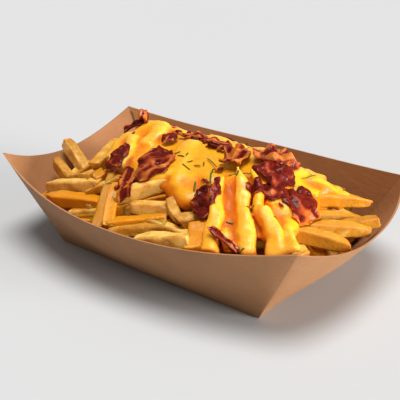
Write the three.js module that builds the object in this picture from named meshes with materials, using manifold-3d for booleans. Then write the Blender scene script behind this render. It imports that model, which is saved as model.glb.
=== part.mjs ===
// Bacon cheese fries heaped in a folded paper boat tray.
// Millimetres, +Z up, +X along the tray. The origin is the centre of the tray's
// flat bottom, on the surface that the tray stands on.

import * as THREE from "three";
import { mergeVertices } from "three/addons/utils/BufferGeometryUtils.js";
import Module from "manifold-3d";

const wasm = await Module();
wasm.setup();

// Tray: a flat bottom, four flaring walls with curved rims, and four raised tips.
const BOTTOM_HALF_LENGTH = 60;
const BOTTOM_HALF_WIDTH = 36.6;
const BOARD = 0.6;
const LEFT_TIP = { out: 28.1, side: 9.6, height: 45.3 };
const RIGHT_TIP = { out: 23.4, side: 10.3, height: 42.4 };
const LONG_WALL = { flare: 27, height: 35.3, flareCurve: 2, heightCurve: 2.35, segments: 16 };
const END_WALL = { flare: 32.8, height: 32.5, flareCurve: 2.6, heightCurve: 2, segments: 10 };
const WALL_BOW = 1.9;
const BOW_DIRECTION = { out: 0.8, down: 0.6 }; // square to a flaring wall
const WALL_STEPS = 4;
const BOARD_LEVEL_WIDTH = 1.3 * BOARD; // a flaring wall, measured level
const TAB = { from: 0.012, to: 0.045, steps: 4, thick: 0.5, sunk: 0.3, bottom: 0.06, top: 0.96 };

// Heap: a level bed of fries with a mound along the middle of the tray.
const BED_HEIGHT = 29;
const BED_ENDS = { from: 62, fall: 34, drop: 14 };
const MOUND_HEIGHT = 27;
const MOUND_LEFT = { from: -36, fall: 30 };
const MOUND_RIGHT = { from: 36, fall: 56 };
const MOUND_REACH = { front: 58, back: 42 };
const MOUND_CURVE = 1.8;
const CORE_DEPTH = 5; // from the top of the fries to the core that they are fused to
const CORE_GRID = { columns: 22, rows: 14 };
const HEAP_CLEARANCE = { side: 1.1, floor: 0.4 };
const HEAP_LIMIT = 80;
const PAST_THE_RIM = 5;
const GAP = 0.3;

// Fries: cut potato bars, a little bent.
const FRY_THICK = 7;
const BENT_STATIONS = 4;
const FRY_CORNER = 0.95; // of half its thickness, as its edges are rounded
const FRY_CORNERS = [
  [FRY_CORNER, FRY_CORNER],
  [-FRY_CORNER, FRY_CORNER],
  [-FRY_CORNER, -FRY_CORNER],
  [FRY_CORNER, -FRY_CORNER],
];

// Bacon: crisp thin crumpled pieces.
const BACON_THICK = 1.7;

const COLOURS = {
  board: 0xb9855c,
  fry: 0xe2ae55,
  cheese: 0xf7b52e,
  bacon: 0x8a2f22,
};

// Seeded random numbers, the same on every run.
function randomFrom(seed) {
  let state = seed >>> 0;
  return () => {
    state = (state + 0x6d2b79f5) >>> 0;
    let t = state;
    t = Math.imul(t ^ (t >>> 15), t | 1);
    t ^= t + Math.imul(t ^ (t >>> 7), t | 61);
    return ((t ^ (t >>> 14)) >>> 0) / 4294967296;
  };
}

const clamp = (value, low, high) => Math.min(high, Math.max(low, value));
const mix = (a, b, t) => a + (b - a) * t;
const degrees = (angle) => (angle * Math.PI) / 180;

function smoothstep(t) {
  const c = clamp(t, 0, 1);
  return c * c * (3 - 2 * c);
}

// Solids

function solidFrom(points, triangles) {
  return new wasm.Manifold(
    new wasm.Mesh({
      numProp: 3,
      vertProperties: new Float32Array(points.flat()),
      triVerts: new Uint32Array(triangles.flat()),
    }),
  );
}

function solidFromGeometry(geometry) {
  const bare = geometry.clone();
  bare.deleteAttribute("normal");
  bare.deleteAttribute("uv");
  const merged = mergeVertices(bare, 1e-4);
  return new wasm.Manifold(
    new wasm.Mesh({
      numProp: 3,
      vertProperties: merged.attributes.position.array,
      triVerts: new Uint32Array(merged.index.array),
    }),
  );
}

function centreOf(ring) {
  return [0, 1, 2].map((k) => ring.reduce((sum, point) => sum + point[k], 0) / ring.length);
}

// Closed rings of points, joined side to side and capped at both ends. Each ring runs
// anticlockwise as seen from the last ring's side.
function solidFromRings(rings) {
  const count = rings[0].length;
  const points = rings.flat();
  const triangles = [];
  for (let r = 0; r + 1 < rings.length; r += 1) {
    for (let i = 0; i < count; i += 1) {
      const a = r * count + i;
      const b = r * count + ((i + 1) % count);
      triangles.push([a, b, b + count], [a, b + count, a + count]);
    }
  }
  const start = points.push(centreOf(rings[0])) - 1;
  const end = points.push(centreOf(rings.at(-1))) - 1;
  const last = (rings.length - 1) * count;
  for (let i = 0; i < count; i += 1) {
    const next = (i + 1) % count;
    triangles.push([start, next, i], [end, last + i, last + next]);
  }
  return solidFrom(points, triangles);
}

// A slab between two grids of points, upper(u, v) over lower(u, v), with u and v from 0 to 1.
function solidFromGrids(columns, rows, upper, lower) {
  const points = [];
  for (const surface of [upper, lower]) {
    for (let j = 0; j <= rows; j += 1) {
      for (let i = 0; i <= columns; i += 1) points.push(surface(i / columns, j / rows));
    }
  }
  const below = (columns + 1) * (rows + 1);
  const at = (i, j) => j * (columns + 1) + i;
  const triangles = [];
  for (let j = 0; j < rows; j += 1) {
    for (let i = 0; i < columns; i += 1) {
      const [a, b, c, d] = [at(i, j), at(i + 1, j), at(i + 1, j + 1), at(i, j + 1)];
      triangles.push([a, b, c], [a, c, d]);
      triangles.push([below + a, below + c, below + b], [below + a, below + d, below + c]);
    }
  }
  const edge = [];
  for (let i = 0; i < columns; i += 1) edge.push(at(i, 0));
  for (let j = 0; j < rows; j += 1) edge.push(at(columns, j));
  for (let i = columns; i > 0; i -= 1) edge.push(at(i, rows));
  for (let j = rows; j > 0; j -= 1) edge.push(at(0, j));
  edge.forEach((a, k) => {
    const b = edge[(k + 1) % edge.length];
    triangles.push([below + a, below + b, b], [below + a, b, a]);
  });
  return solidFrom(points, triangles);
}

function joined(solids) {
  return solids.reduce((whole, solid) => whole.add(solid));
}

function largestBody(solid) {
  return solid.decompose().reduce((best, body) => (body.volume() > best.volume() ? body : best));
}

function meshOf(name, solid, colour, roughness) {
  const { vertProperties, triVerts } = solid.getMesh();
  const geometry = new THREE.BufferGeometry();
  geometry.setAttribute("position", new THREE.BufferAttribute(vertProperties, 3));
  geometry.setIndex(new THREE.BufferAttribute(triVerts, 1));
  geometry.computeVertexNormals();
  const material = new THREE.MeshStandardMaterial({ color: colour, roughness, metalness: 0 });
  const mesh = new THREE.Mesh(geometry, material);
  mesh.name = name;
  return mesh;
}

// Tray

// A point of a long wall (front is side -1, back is 1). s runs from -1 at the left tip to 1
// at the right tip, t from the fold at the bottom to the rim. inset moves it into the tray,
// and lift raises its foot.
function longWall(side, s, t, inset, lift) {
  const tip = s < 0 ? LEFT_TIP : RIGHT_TIP;
  const along = Math.abs(s);
  const flare = mix(LONG_WALL.flare, tip.side, along ** LONG_WALL.flareCurve);
  const height = mix(LONG_WALL.height, tip.height, along ** LONG_WALL.heightCurve);
  const bow = WALL_BOW * 4 * t * (1 - t) * Math.sqrt(1 - s * s);
  const x = (BOTTOM_HALF_LENGTH + tip.out * t - inset) * s;
  const y = BOTTOM_HALF_WIDTH + flare * t + BOW_DIRECTION.out * bow - inset;
  return [x, side * y, height * t - BOW_DIRECTION.down * bow + lift * (1 - t)];
}

// A point of an end wall (left is side -1, right is 1), with s from the front tip to the back tip.
function endWall(side, s, t, inset, lift) {
  const tip = side < 0 ? LEFT_TIP : RIGHT_TIP;
  const along = Math.abs(s);
  const flare = mix(END_WALL.flare, tip.out, along ** END_WALL.flareCurve);
  const height = mix(END_WALL.height, tip.height, along ** END_WALL.heightCurve);
  const bow = WALL_BOW * 4 * t * (1 - t) * Math.sqrt(1 - s * s);
  const x = BOTTOM_HALF_LENGTH + flare * t + BOW_DIRECTION.out * bow - inset;
  const y = (BOTTOM_HALF_WIDTH + tip.side * t - inset) * s;
  return [side * x, y, height * t - BOW_DIRECTION.down * bow + lift * (1 - t)];
}

// All four walls at one t, anticlockwise from the front left tip.
function trayRing(t, inset, lift) {
  const ring = [];
  const steps = (segments) => Array.from({ length: segments }, (_, k) => (2 * k) / segments - 1);
  for (const s of steps(LONG_WALL.segments)) ring.push(longWall(-1, s, t, inset, lift));
  for (const s of steps(END_WALL.segments)) ring.push(endWall(1, s, t, inset, lift));
  for (const s of steps(LONG_WALL.segments)) ring.push(longWall(1, -s, t, inset, lift));
  for (const s of steps(END_WALL.segments)) ring.push(endWall(-1, -s, t, inset, lift));
  return ring;
}

// The glued end of the left wall, folded round the tip and lying on the long wall's inner face.
function tipTab(side) {
  const tipS = (u) => mix(TAB.from, TAB.to, u) - 1;
  const t = (v) => mix(TAB.bottom, TAB.top, v);
  const face = (inset) => (u, v) => longWall(side, tipS(u), t(v), inset, BOARD);
  const inner = face(BOARD_LEVEL_WIDTH + TAB.thick);
  const outer = face(BOARD_LEVEL_WIDTH - TAB.sunk);
  return side < 0
    ? solidFromGrids(1, TAB.steps, inner, outer)
    : solidFromGrids(1, TAB.steps, outer, inner);
}

function tray() {
  const heights = Array.from({ length: WALL_STEPS + 1 }, (_, k) => k / WALL_STEPS);
  const outside = heights.map((t) => trayRing(t, 0, 0));
  const inside = heights.reverse().map((t) => trayRing(t, BOARD_LEVEL_WIDTH, BOARD));
  const shell = solidFromRings([...outside, ...inside]);
  return joined([shell, tipTab(-1), tipTab(1)]);
}

// The room inside the tray, carried on straight up from its rim.
function trayRoom() {
  const inset = BOARD_LEVEL_WIDTH + HEAP_CLEARANCE.side;
  const lift = BOARD + HEAP_CLEARANCE.floor;
  const rings = [0, 0.5, 1].map((t) => trayRing(t, inset, lift));
  const above = trayRing(1, inset, lift).map(([x, y]) => [x, y, HEAP_LIMIT]);
  return solidFromRings([...rings, above]);
}

// Heap

// The height of the top of the fries over a point of the tray.
function heapTop(x, y) {
  const bed = BED_HEIGHT - BED_ENDS.drop * smoothstep((Math.abs(x) - BED_ENDS.from) / BED_ENDS.fall);
  const left = 1 - smoothstep((MOUND_LEFT.from - x) / MOUND_LEFT.fall);
  const right = 1 - smoothstep((x - MOUND_RIGHT.from) / MOUND_RIGHT.fall);
  const reach = y < 0 ? MOUND_REACH.front : MOUND_REACH.back;
  const across = Math.max(0, 1 - (Math.abs(y) / reach) ** MOUND_CURVE);
  return bed + MOUND_HEIGHT * left * right * across;
}

// Everything under the core's top, raised a little to leave a gap to what lies on it.
function underCore(raise) {
  const halfLength = BOTTOM_HALF_LENGTH + END_WALL.flare + PAST_THE_RIM;
  const halfWidth = BOTTOM_HALF_WIDTH + LONG_WALL.flare + PAST_THE_RIM;
  const place = (u, v) => [mix(-halfLength, halfLength, u), mix(-halfWidth, halfWidth, v)];
  const upper = (u, v) => {
    const [x, y] = place(u, v);
    return [x, y, heapTop(x, y) - CORE_DEPTH + raise];
  };
  const lower = (u, v) => [...place(u, v), -PAST_THE_RIM];
  return solidFromGrids(CORE_GRID.columns, CORE_GRID.rows, upper, lower);
}

// A straight or bent square bar from one end to the other. bend is how far its
// middle rises over the line between its ends, spin turns it about its length in degrees,
// taper is how much thinner its second end is, slant is how far its cut ends lean, and grow
// makes it larger all round.
function bar(fry, grow = 0) {
  const { from, to, thick = FRY_THICK, wide = thick, bend = 0, spin = 0, taper = 0, slant = 0 } = fry;
  const start = new THREE.Vector3(...from);
  const end = new THREE.Vector3(...to);
  const along = end.clone().sub(start).normalize();
  const side = new THREE.Vector3(0, 0, 1).cross(along).normalize();
  const rise = along.clone().cross(side);
  side.applyAxisAngle(along, degrees(spin));
  rise.applyAxisAngle(along, degrees(spin));
  const stations = bend > 0 ? BENT_STATIONS : 1;
  const rings = [];
  for (let k = 0; k <= stations; k += 1) {
    const t = k / stations;
    const fromMiddle = 2 * t - 1;
    const centre = start.clone().lerp(end, t);
    centre.z += bend * 4 * t * (1 - t);
    centre.addScaledVector(along, fromMiddle * grow);
    const size = (1 - taper * t) / 2;
    const ring = FRY_CORNERS.map(([a, b]) => {
      const point = centre.clone();
      point.addScaledVector(side, a * (wide * size + grow));
      point.addScaledVector(rise, b * (thick * size + grow));
      return point.addScaledVector(along, a * slant * fromMiddle).toArray();
    });
    rings.push(ring);
  }
  return solidFromRings(rings);
}

// The fries that show, each from one end to the other, with what is particular to it.
const SHOWN_FRIES = [
  // leaning on the left end wall
  { from: [-89, -3, 38], to: [-66, -9, 24] },
  { from: [-81, -18, 34], to: [-58, -22, 24], thick: 6.5 },
  { from: [-77, 0, 27], to: [-73, -18, 24], thick: 4.5 },
  // lying along the tray at its left end
  { from: [-71, -34, 27], to: [-28, -39, 40], thick: 6.5, taper: -0.1 },
  { from: [-76, -19, 25], to: [-36, -36, 41], thick: 4.5 },
  { from: [-55, -50, 30], to: [-22, -44, 34] },
  { from: [-32, -43, 37], to: [-18, -33, 43], thick: 5 },
  { from: [-38, -31, 44], to: [-41, -9, 50], thick: 6 },
  { from: [-60, 24, 26], to: [-24, 30, 42] },
  { from: [-37, -30, 41.5], to: [-29, -36, 42], wide: 8, thick: 7, spin: 20 },
  // running down to the front rim, left of the cheese
  { from: [-13, -57, 29], to: [-27, -30, 44], thick: 5.5 },
  { from: [-7, -55, 31], to: [-20, -32, 42], thick: 6 },
  // lying across the front
  { from: [-14, -44, 37], to: [9, -24, 47], wide: 9.5, thick: 8.5, bend: 1.5, taper: 0.2 },
  { from: [-5, -43, 37], to: [13, -37, 39], thick: 6 },
  { from: [-12, -45, 34], to: [0, -30, 38], thick: 6 },
  { from: [-9, -54, 31], to: [14, -40, 35], thick: 6.5 },
  { from: [-6, -56, 30], to: [18, -45, 34], wide: 7, thick: 5 },
  { from: [11, -57, 31], to: [37, -53, 37] },
  { from: [12, -35, 41], to: [23, -42, 36], thick: 5.5 },
  { from: [24, -43, 37], to: [36, -30, 40], thick: 7 },
  { from: [33, -42, 37], to: [40, -56, 32], thick: 8 },
  // reaching out of the cheese at the right end
  { from: [78, 21, 37], to: [56, -2, 42], wide: 6, thick: 5.5, taper: -0.6, slant: 3 },
  { from: [81, 14, 32], to: [58, -8, 36], thick: 4.5 },
  { from: [88, 6, 32], to: [58, -22, 36], thick: 6, bend: 1 },
  { from: [89, 11, 35], to: [74, -2, 32], wide: 6.5, thick: 5 },
  { from: [88, -13, 33], to: [56, -27, 37], thick: 6.5, bend: 1 },
  { from: [82, -39, 37], to: [66, -30, 30], thick: 6 },
  { from: [84, -4, 22], to: [58, 2, 27] },
  { from: [76, 24, 22], to: [50, 18, 34] },
  { from: [76, -28, 28], to: [54, -14, 32] },
];

// The rest of the fries, one for each place of a few rows, shifted, turned and cut by chance.
// Each row is sunk into the heap by its own depth.
const LOOSE_FRIES = { seed: 7, length: [26, 42], thick: [5.5, 7], shift: 4, spread: 2.5, margin: 4 };
const LOOSE_ROWS = [
  // down the back, from the mound to the wall
  { from: [-44, 22], to: [44, 22], count: 6, sunk: 3 },
  { from: [-58, 34], to: [40, 34], count: 8, sunk: 3.5 },
  { from: [-46, 45], to: [40, 45], count: 7, sunk: 3.5 },
  // across the left end and the right end
  { from: [-64, -30], to: [-64, 20], count: 4, sunk: 6.5 },
  { from: [-74, -16], to: [-74, 22], count: 3, sunk: 6.5 },
  { from: [66, -18], to: [64, 14], count: 3, sunk: 6 },
  // along the front, under the fries that show
  { from: [-40, -44], to: [26, -44], count: 4, sunk: 6 },
  // on the slope at the left of the cheese
  { from: [-51, -12], to: [-51, 10], count: 3, sunk: 7 },
];

// Whether a point over the bed is inside the walls, with a margin.
function insideTray(x, y, margin) {
  const s = x / (BOTTOM_HALF_LENGTH + END_WALL.flare);
  const halfWidth = mix(BOTTOM_HALF_WIDTH + 20, BOTTOM_HALF_WIDTH + 13, s * s);
  return Math.abs(s) < 0.86 && Math.abs(y) < halfWidth - margin;
}

// One fry near a place, turned again until both its ends are inside the tray.
function looseFry([x, y], sunk, random) {
  const draw = ([low, high]) => mix(low, high, random());
  const thick = draw(LOOSE_FRIES.thick);
  const lift = LOOSE_FRIES.spread * (random() - 0.5);
  let ends;
  do {
    const middleX = x + LOOSE_FRIES.shift * (random() - 0.5);
    const middleY = y + LOOSE_FRIES.shift * (random() - 0.5);
    const heading = degrees(180 * random());
    const length = draw(LOOSE_FRIES.length);
    ends = [-length / 2, length / 2].map((reach) => {
      const endX = middleX + reach * Math.cos(heading);
      const endY = middleY + reach * Math.sin(heading);
      return [endX, endY, heapTop(endX, endY) - sunk + lift];
    });
  } while (!ends.every(([endX, endY]) => insideTray(endX, endY, LOOSE_FRIES.margin)));
  return { from: ends[0], to: ends[1], thick };
}

function looseFries() {
  const random = randomFrom(LOOSE_FRIES.seed);
  return LOOSE_ROWS.flatMap(({ from, to, count, sunk }) =>
    Array.from({ length: count }, (_, k) => {
      const t = k / (count - 1);
      return looseFry([mix(from[0], to[0], t), mix(from[1], to[1], t)], sunk, random);
    }),
  );
}

// Cheese sauce: a poured sheet over the mound, fries coated in it, and lumps.
const SHEET = { rise: 0.6, lip: 4, lipCurve: 6, rings: 6, around: 38, depth: 12 };
const SHEET_CENTRE = [10, -4];
const SHEET_OUTLINE = [
  [-38, -24],
  [-26, -30],
  [-12, -28],
  [2, -28],
  [13, -31],
  [22, -29],
  [29, -24],
  [37, -19],
  [46, -21],
  [56, -24],
  [65, -22],
  [66, -14],
  [65, -2],
  [63, 12],
  [52, 26],
  [34, 26],
  [22, 36],
  [6, 30],
  [-12, 35],
  [-26, 28],
  [-38, 20],
  [-44, 0],
];
const COATED_FRIES = [
  // running down the front to the rim
  { from: [32.4, -24.8, 55], to: [46.5, -52.5, 33], wide: 4.6, thick: 4.5, taper: -0.75, spin: 6 },
  { from: [35, -15.3, 57.5], to: [61, -45.5, 33], wide: 4.8, thick: 4.8, taper: -0.5, spin: 8 },
  { from: [41.5, -15, 57], to: [62.5, -36.5, 37.5], wide: 4, thick: 4, taper: -0.1 },
  { from: [56, -26.5, 48], to: [71, -39.5, 33], wide: 5.6, thick: 5.2, taper: -0.5, spin: 22 },
  { from: [66, -27, 39], to: [77, -38, 36], thick: 6, spin: 20 },
  { from: [56, -20, 44], to: [69, -17, 38], wide: 8, thick: 5 },
  // at the right end
  { from: [50, 8, 48], to: [64, 13, 43], thick: 7 },
  { from: [56, 6, 46], to: [71, 16, 37], thick: 8 },
  // at the left, under the bacon
  { from: [-23, -30, 46], to: [-31, -8, 53], thick: 7 },
  { from: [-8, -30, 46], to: [6, -26, 48], thick: 6 },
  { from: [-20, -14, 52], to: [-27, 8, 55], thick: 7.5 },
  // down the back
  { from: [32, 14, 44], to: [44, 44, 30], thick: 8 },
  { from: [42, 12, 43], to: [58, 34, 30], thick: 7 },
  { from: [10, 18, 46], to: [2, 46, 29], thick: 8 },
  { from: [16, 16, 46], to: [25, 43, 30], thick: 7 },
  { from: [-14, 18, 46], to: [-24, 45, 29], thick: 8 },
  { from: [-26, 14, 45], to: [-44, 34, 30], thick: 7 },
];
// Webs of cheese that hang between the coated fries.
const WEBS = [
  { from: [33, -18.5, 53], to: [54, -48, 35.5], wide: 6, thick: 3 },
  { from: [48, -20, 45], to: [60, -34, 36], wide: 9, thick: 3 },
  { from: [24, -20, 50], to: [36, -32, 44], wide: 8, thick: 4 },
  { from: [60, -21, 43], to: [68, -26, 38], wide: 9, thick: 3.5 },
];
const LUMPS = [
  // high on the left, beside the standing bacon
  { at: [-33, 5, 53], size: [7, 6, 5] },
  { at: [-23, -1, 54], size: [4, 4, 4] },
  // on the fry that lies across the front
  { at: [-2, -29, 45], size: [8, 5, 3.5] },
  // elsewhere along the sheet's edge
  { at: [31, 2, 54], size: [6, 7, 4] },
  { at: [14, -30, 42.5], size: [6, 4, 4] },
  { at: [20, -31, 42], size: [5, 6, 4] },
  { at: [65.5, -24.5, 39], size: [2.5, 2.5, 2] },
];

// Chives: short cut blades lying on the cheese, each at a place, turned by an angle in degrees.
const CHIVE = { width: 1.1, proud: 0.5, sunk: 2 };
const CHIVES = [
  { at: [19, -14], turn: -25, length: 9 },
  { at: [25, -22], turn: -60, length: 10 },
  { at: [34, -18], turn: 80, length: 6 },
  { at: [21, -29], turn: -60, length: 5 },
  { at: [3, -16], turn: -5, length: 4 },
  { at: [10, -21], turn: -10, length: 5 },
  { at: [14, -18], turn: 20, length: 3 },
  { at: [57, 6], turn: 70, length: 8 },
  { at: [18, 14], turn: 40, length: 7 },
  { at: [-12, 18], turn: -50, length: 6 },
  { at: [40, 20], turn: 15, length: 6 },
];

function cheeseSheet(grow) {
  const [centreX, centreY] = SHEET_CENTRE;
  const corners = SHEET_OUTLINE.map(([x, y]) => new THREE.Vector3(x, y, 0));
  const outline = new THREE.CatmullRomCurve3(corners, true).getPoints(SHEET.around).slice(0, -1);
  const ringAt = (fraction) =>
    outline.map((point) => {
      const reach = point.distanceTo(new THREE.Vector3(centreX, centreY, 0));
      const scale = (fraction * (reach + grow)) / reach;
      return [mix(centreX, point.x, scale), mix(centreY, point.y, scale)];
    });
  const rings = [];
  const floor = ringAt(1).map(([x, y]) => [x, y, heapTop(x, y) - SHEET.depth]);
  rings.push(floor);
  for (let k = SHEET.rings; k > 0; k -= 1) {
    const fraction = k / SHEET.rings;
    const drop = SHEET.lip * fraction ** SHEET.lipCurve;
    rings.push(ringAt(fraction).map(([x, y]) => [x, y, heapTop(x, y) + SHEET.rise - drop + grow]));
  }
  return solidFromRings(rings);
}

function lump({ at, size }, grow) {
  const ball = new THREE.IcosahedronGeometry(1, 1);
  ball.scale(...size.map((half) => half + grow));
  ball.translate(...at);
  return solidFromGeometry(ball);
}

function cheeseForm(grow) {
  const coated = [...COATED_FRIES, ...WEBS].map((fry) => bar(fry, grow));
  return joined([cheeseSheet(grow), ...coated, ...LUMPS.map((piece) => lump(piece, grow))]);
}

// The height of the top of the cheese or the fries over a point, with a slope on each side
// of the coated fries, as what lies over them doesn't follow them straight down.
const COATED_FALL = 1.5;
function surfaceTop(x, y) {
  const point = new THREE.Vector2(x, y);
  const heights = COATED_FRIES.map(({ from, to, thick, bend = 0 }) => {
    const start = new THREE.Vector2(from[0], from[1]);
    const line = new THREE.Vector2(to[0], to[1]).sub(start);
    const t = clamp(point.clone().sub(start).dot(line) / line.lengthSq(), 0, 1);
    const off = point.distanceTo(start.addScaledVector(line, t));
    const height = mix(from[2], to[2], t) + bend * 4 * t * (1 - t) + thick / 2;
    return height - COATED_FALL * Math.max(0, off - thick / 2);
  });
  return Math.max(heapTop(x, y) + SHEET.rise, ...heights);
}

function chive({ at: [x, y], turn, length }, grow) {
  const depth = CHIVE.proud + CHIVE.sunk;
  const blade = new THREE.BoxGeometry(length + 2 * grow, CHIVE.width + 2 * grow, depth + 2 * grow);
  blade.rotateZ(degrees(turn));
  blade.translate(x, y, surfaceTop(x, y) + CHIVE.proud - depth / 2);
  return solidFromGeometry(blade);
}

// Bacon pieces: where the middle lies, how far it stands off the heap, its length and width,
// its heading, its tip-up along its length and its roll about it, and how much it is
// ruffled and curled. Pieces that don't stand are draped over what they lie on.
const BACON = [
  { at: [-27, -26], lift: 1, length: 16, width: 9, heading: 100, ruffle: 0.5, curl: 0.5 },
  { at: [-42, -2], lift: 1.5, length: 14, width: 6, heading: 15, roll: 50, ruffle: 0.8, curl: 1 },
  { at: [-35, 1], lift: 2, length: 14, width: 5, heading: 128, tip: 80, ruffle: 1, curl: 1, stands: true },
  { at: [-13, -5], lift: 1.5, length: 10, width: 7, heading: 110, ruffle: 1, curl: 0.5 },
  { at: [-6, -25], lift: 2.5, length: 23, width: 17, heading: -70, ruffle: 0.8, curl: 2 },
  { at: [-12, -38], lift: 1, length: 20, width: 7, heading: 115, ruffle: 1, curl: 1 },
  { at: [31.5, -35], lift: 2, length: 17, width: 13, heading: 110, ruffle: 1, curl: 1 },
  { at: [51, -49], lift: 6, length: 16, width: 3.4, heading: -14, tip: -20, ruffle: 0.3, curl: 0, stands: true },
  { at: [28, -8], lift: 3.5, length: 15, width: 12, heading: 90, ruffle: 2, curl: 1 },
  { at: [43.5, 1.5], lift: 4.5, length: 21, width: 13, heading: 35, ruffle: 2.2, curl: 2.5 },
  { at: [49, -8], lift: 4, length: 19, width: 15, heading: -10, tip: 4, ruffle: 1.6, curl: 2 },
  { at: [54, -18], lift: 3, length: 20, width: 10, heading: 35, ruffle: 1.2, curl: 2 },
  { at: [67, -12], lift: 5, length: 23, width: 17, heading: -20, ruffle: 0.4, curl: 4 },
  { at: [-4, 4], lift: 1.5, length: 13, width: 6, heading: 25, ruffle: 1.2, curl: 1 },
  { at: [10, 2], lift: 1.5, length: 15, width: 6, heading: 5, ruffle: 1.2, curl: 1 },
  { at: [-4, 28], lift: 1, length: 19, width: 12, heading: 30, ruffle: 1.2, curl: 1 },
  { at: [27, 26], lift: 1, length: 20, width: 13, heading: 140, ruffle: 1.2, curl: 1 },
  { at: [-28, 20], lift: 1, length: 16, width: 11, heading: 80, ruffle: 1.2, curl: 1 },
];
const BACON_GRID = { along: 8, across: 3 };
const DRAPE_MARGIN = 0.4;

// The directions along and across a bacon piece and off its face.
function baconAxes({ at: [x, y], heading, tip = 0, roll = 0 }) {
  const slopeX = (heapTop(x + 2, y) - heapTop(x - 2, y)) / 4;
  const slopeY = (heapTop(x, y + 2) - heapTop(x, y - 2)) / 4;
  const normal = new THREE.Vector3(-slopeX, -slopeY, 1).normalize();
  const along = new THREE.Vector3(Math.cos(degrees(heading)), Math.sin(degrees(heading)), 0);
  along.addScaledVector(normal, -along.dot(normal)).normalize();
  const across = normal.clone().cross(along);
  along.applyAxisAngle(across, degrees(-tip));
  normal.applyAxisAngle(across, degrees(-tip));
  across.applyAxisAngle(along, degrees(roll));
  normal.applyAxisAngle(along, degrees(roll));
  return { along, across, normal };
}

function baconPiece(piece, index, grow) {
  const { at, lift, length, width, ruffle, curl, stands } = piece;
  const { along, across, normal } = baconAxes(piece);
  const centre = new THREE.Vector3(...at, heapTop(...at) + lift);
  const phase = index * 2.4;
  const half = BACON_THICK / 2 + grow;
  const face = (offset) => (u, v) => {
    const a = 2 * u - 1;
    const b = 2 * v - 1;
    const narrowing = 1 - 0.35 * a ** 4 + 0.12 * Math.sin(5 * a + phase);
    const edge = 1 + 0.1 * Math.sin(3 * b + phase);
    const height = ruffle * Math.sin(6 * a + phase) * (0.6 + 0.4 * b) - curl * (a * a + 0.5 * b * b);
    const point = centre.clone();
    point.addScaledVector(along, a * length * edge * 0.5);
    point.addScaledVector(across, b * width * narrowing * 0.5);
    point.addScaledVector(normal, height);
    const clear = surfaceTop(point.x, point.y) + GAP + DRAPE_MARGIN + BACON_THICK / 2;
    if (!stands) point.z = Math.max(point.z, clear);
    point.addScaledVector(along, a * grow).addScaledVector(across, b * grow);
    return point.addScaledVector(normal, offset).toArray();
  };
  return solidFromGrids(BACON_GRID.along, BACON_GRID.across, face(half), face(-half));
}

// The whole

const room = trayRoom();
const core = room.intersect(underCore(0));
const cheeseGap = joined([cheeseForm(GAP), ...CHIVES.map((blade) => chive(blade, GAP))]);
const baconGaps = BACON.map((piece, index) => baconPiece(piece, index, GAP));
const baconGap = joined(baconGaps);

const group = new THREE.Group();
group.add(meshOf("tray", tray(), COLOURS.board, 0.85));

const fryBars = [...SHOWN_FRIES, ...looseFries()].map((fry) => bar(fry));
const fries = core.add(joined(fryBars).intersect(room).subtract(cheeseGap)).subtract(baconGap);
group.add(meshOf("fries", largestBody(fries), COLOURS.fry, 0.6));

const sauce = cheeseForm(0).intersect(room).subtract(underCore(GAP));
const garnished = joined([sauce, ...CHIVES.map((blade) => chive(blade, 0))]);
group.add(meshOf("cheese_sauce", garnished, COLOURS.cheese, 0.35));

BACON.forEach((piece, index) => {
  const taken = joined([cheeseGap, ...baconGaps.slice(0, index)]);
  const fitted = largestBody(baconPiece(piece, index, 0).subtract(taken));
  const name = `bacon_${String(index + 1).padStart(2, "0")}`;
  group.add(meshOf(name, fitted, COLOURS.bacon, 0.4));
});

export default group;
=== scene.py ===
# The look of bacon cheese fries in a folded paper boat tray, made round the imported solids.
# Lengths in the code are millimetres, and MM turns them into Blender's metres.

import math

import bpy
import numpy as np
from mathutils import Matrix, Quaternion, Vector, noise
from mathutils.bvhtree import BVHTree


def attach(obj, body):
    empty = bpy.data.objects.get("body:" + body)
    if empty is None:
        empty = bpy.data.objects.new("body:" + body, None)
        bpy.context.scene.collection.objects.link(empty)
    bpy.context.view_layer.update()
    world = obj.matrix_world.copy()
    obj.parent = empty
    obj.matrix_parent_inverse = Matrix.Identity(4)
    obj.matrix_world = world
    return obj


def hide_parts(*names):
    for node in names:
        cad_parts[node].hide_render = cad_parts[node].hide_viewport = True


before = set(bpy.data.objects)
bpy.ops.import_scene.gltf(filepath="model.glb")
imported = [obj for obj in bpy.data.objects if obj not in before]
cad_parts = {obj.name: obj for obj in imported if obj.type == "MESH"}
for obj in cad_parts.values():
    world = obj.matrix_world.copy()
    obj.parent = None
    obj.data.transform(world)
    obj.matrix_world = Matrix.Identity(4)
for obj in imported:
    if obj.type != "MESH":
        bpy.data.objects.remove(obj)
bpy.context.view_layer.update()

bl_info = {
    "name": "Loaded fries in a paper tray",
    "version": (1, 0, 0),
    "blender": (4, 5, 0),
    "location": "View3D > Sidebar > Loaded fries",
    "description": "Makes bacon cheese fries in a folded paper boat tray, piece by piece",
    "category": "Add Mesh",
}

MM = 0.001
BODY = "root"
BACON_NODES = sorted(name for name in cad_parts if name.startswith("bacon_"))

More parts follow.
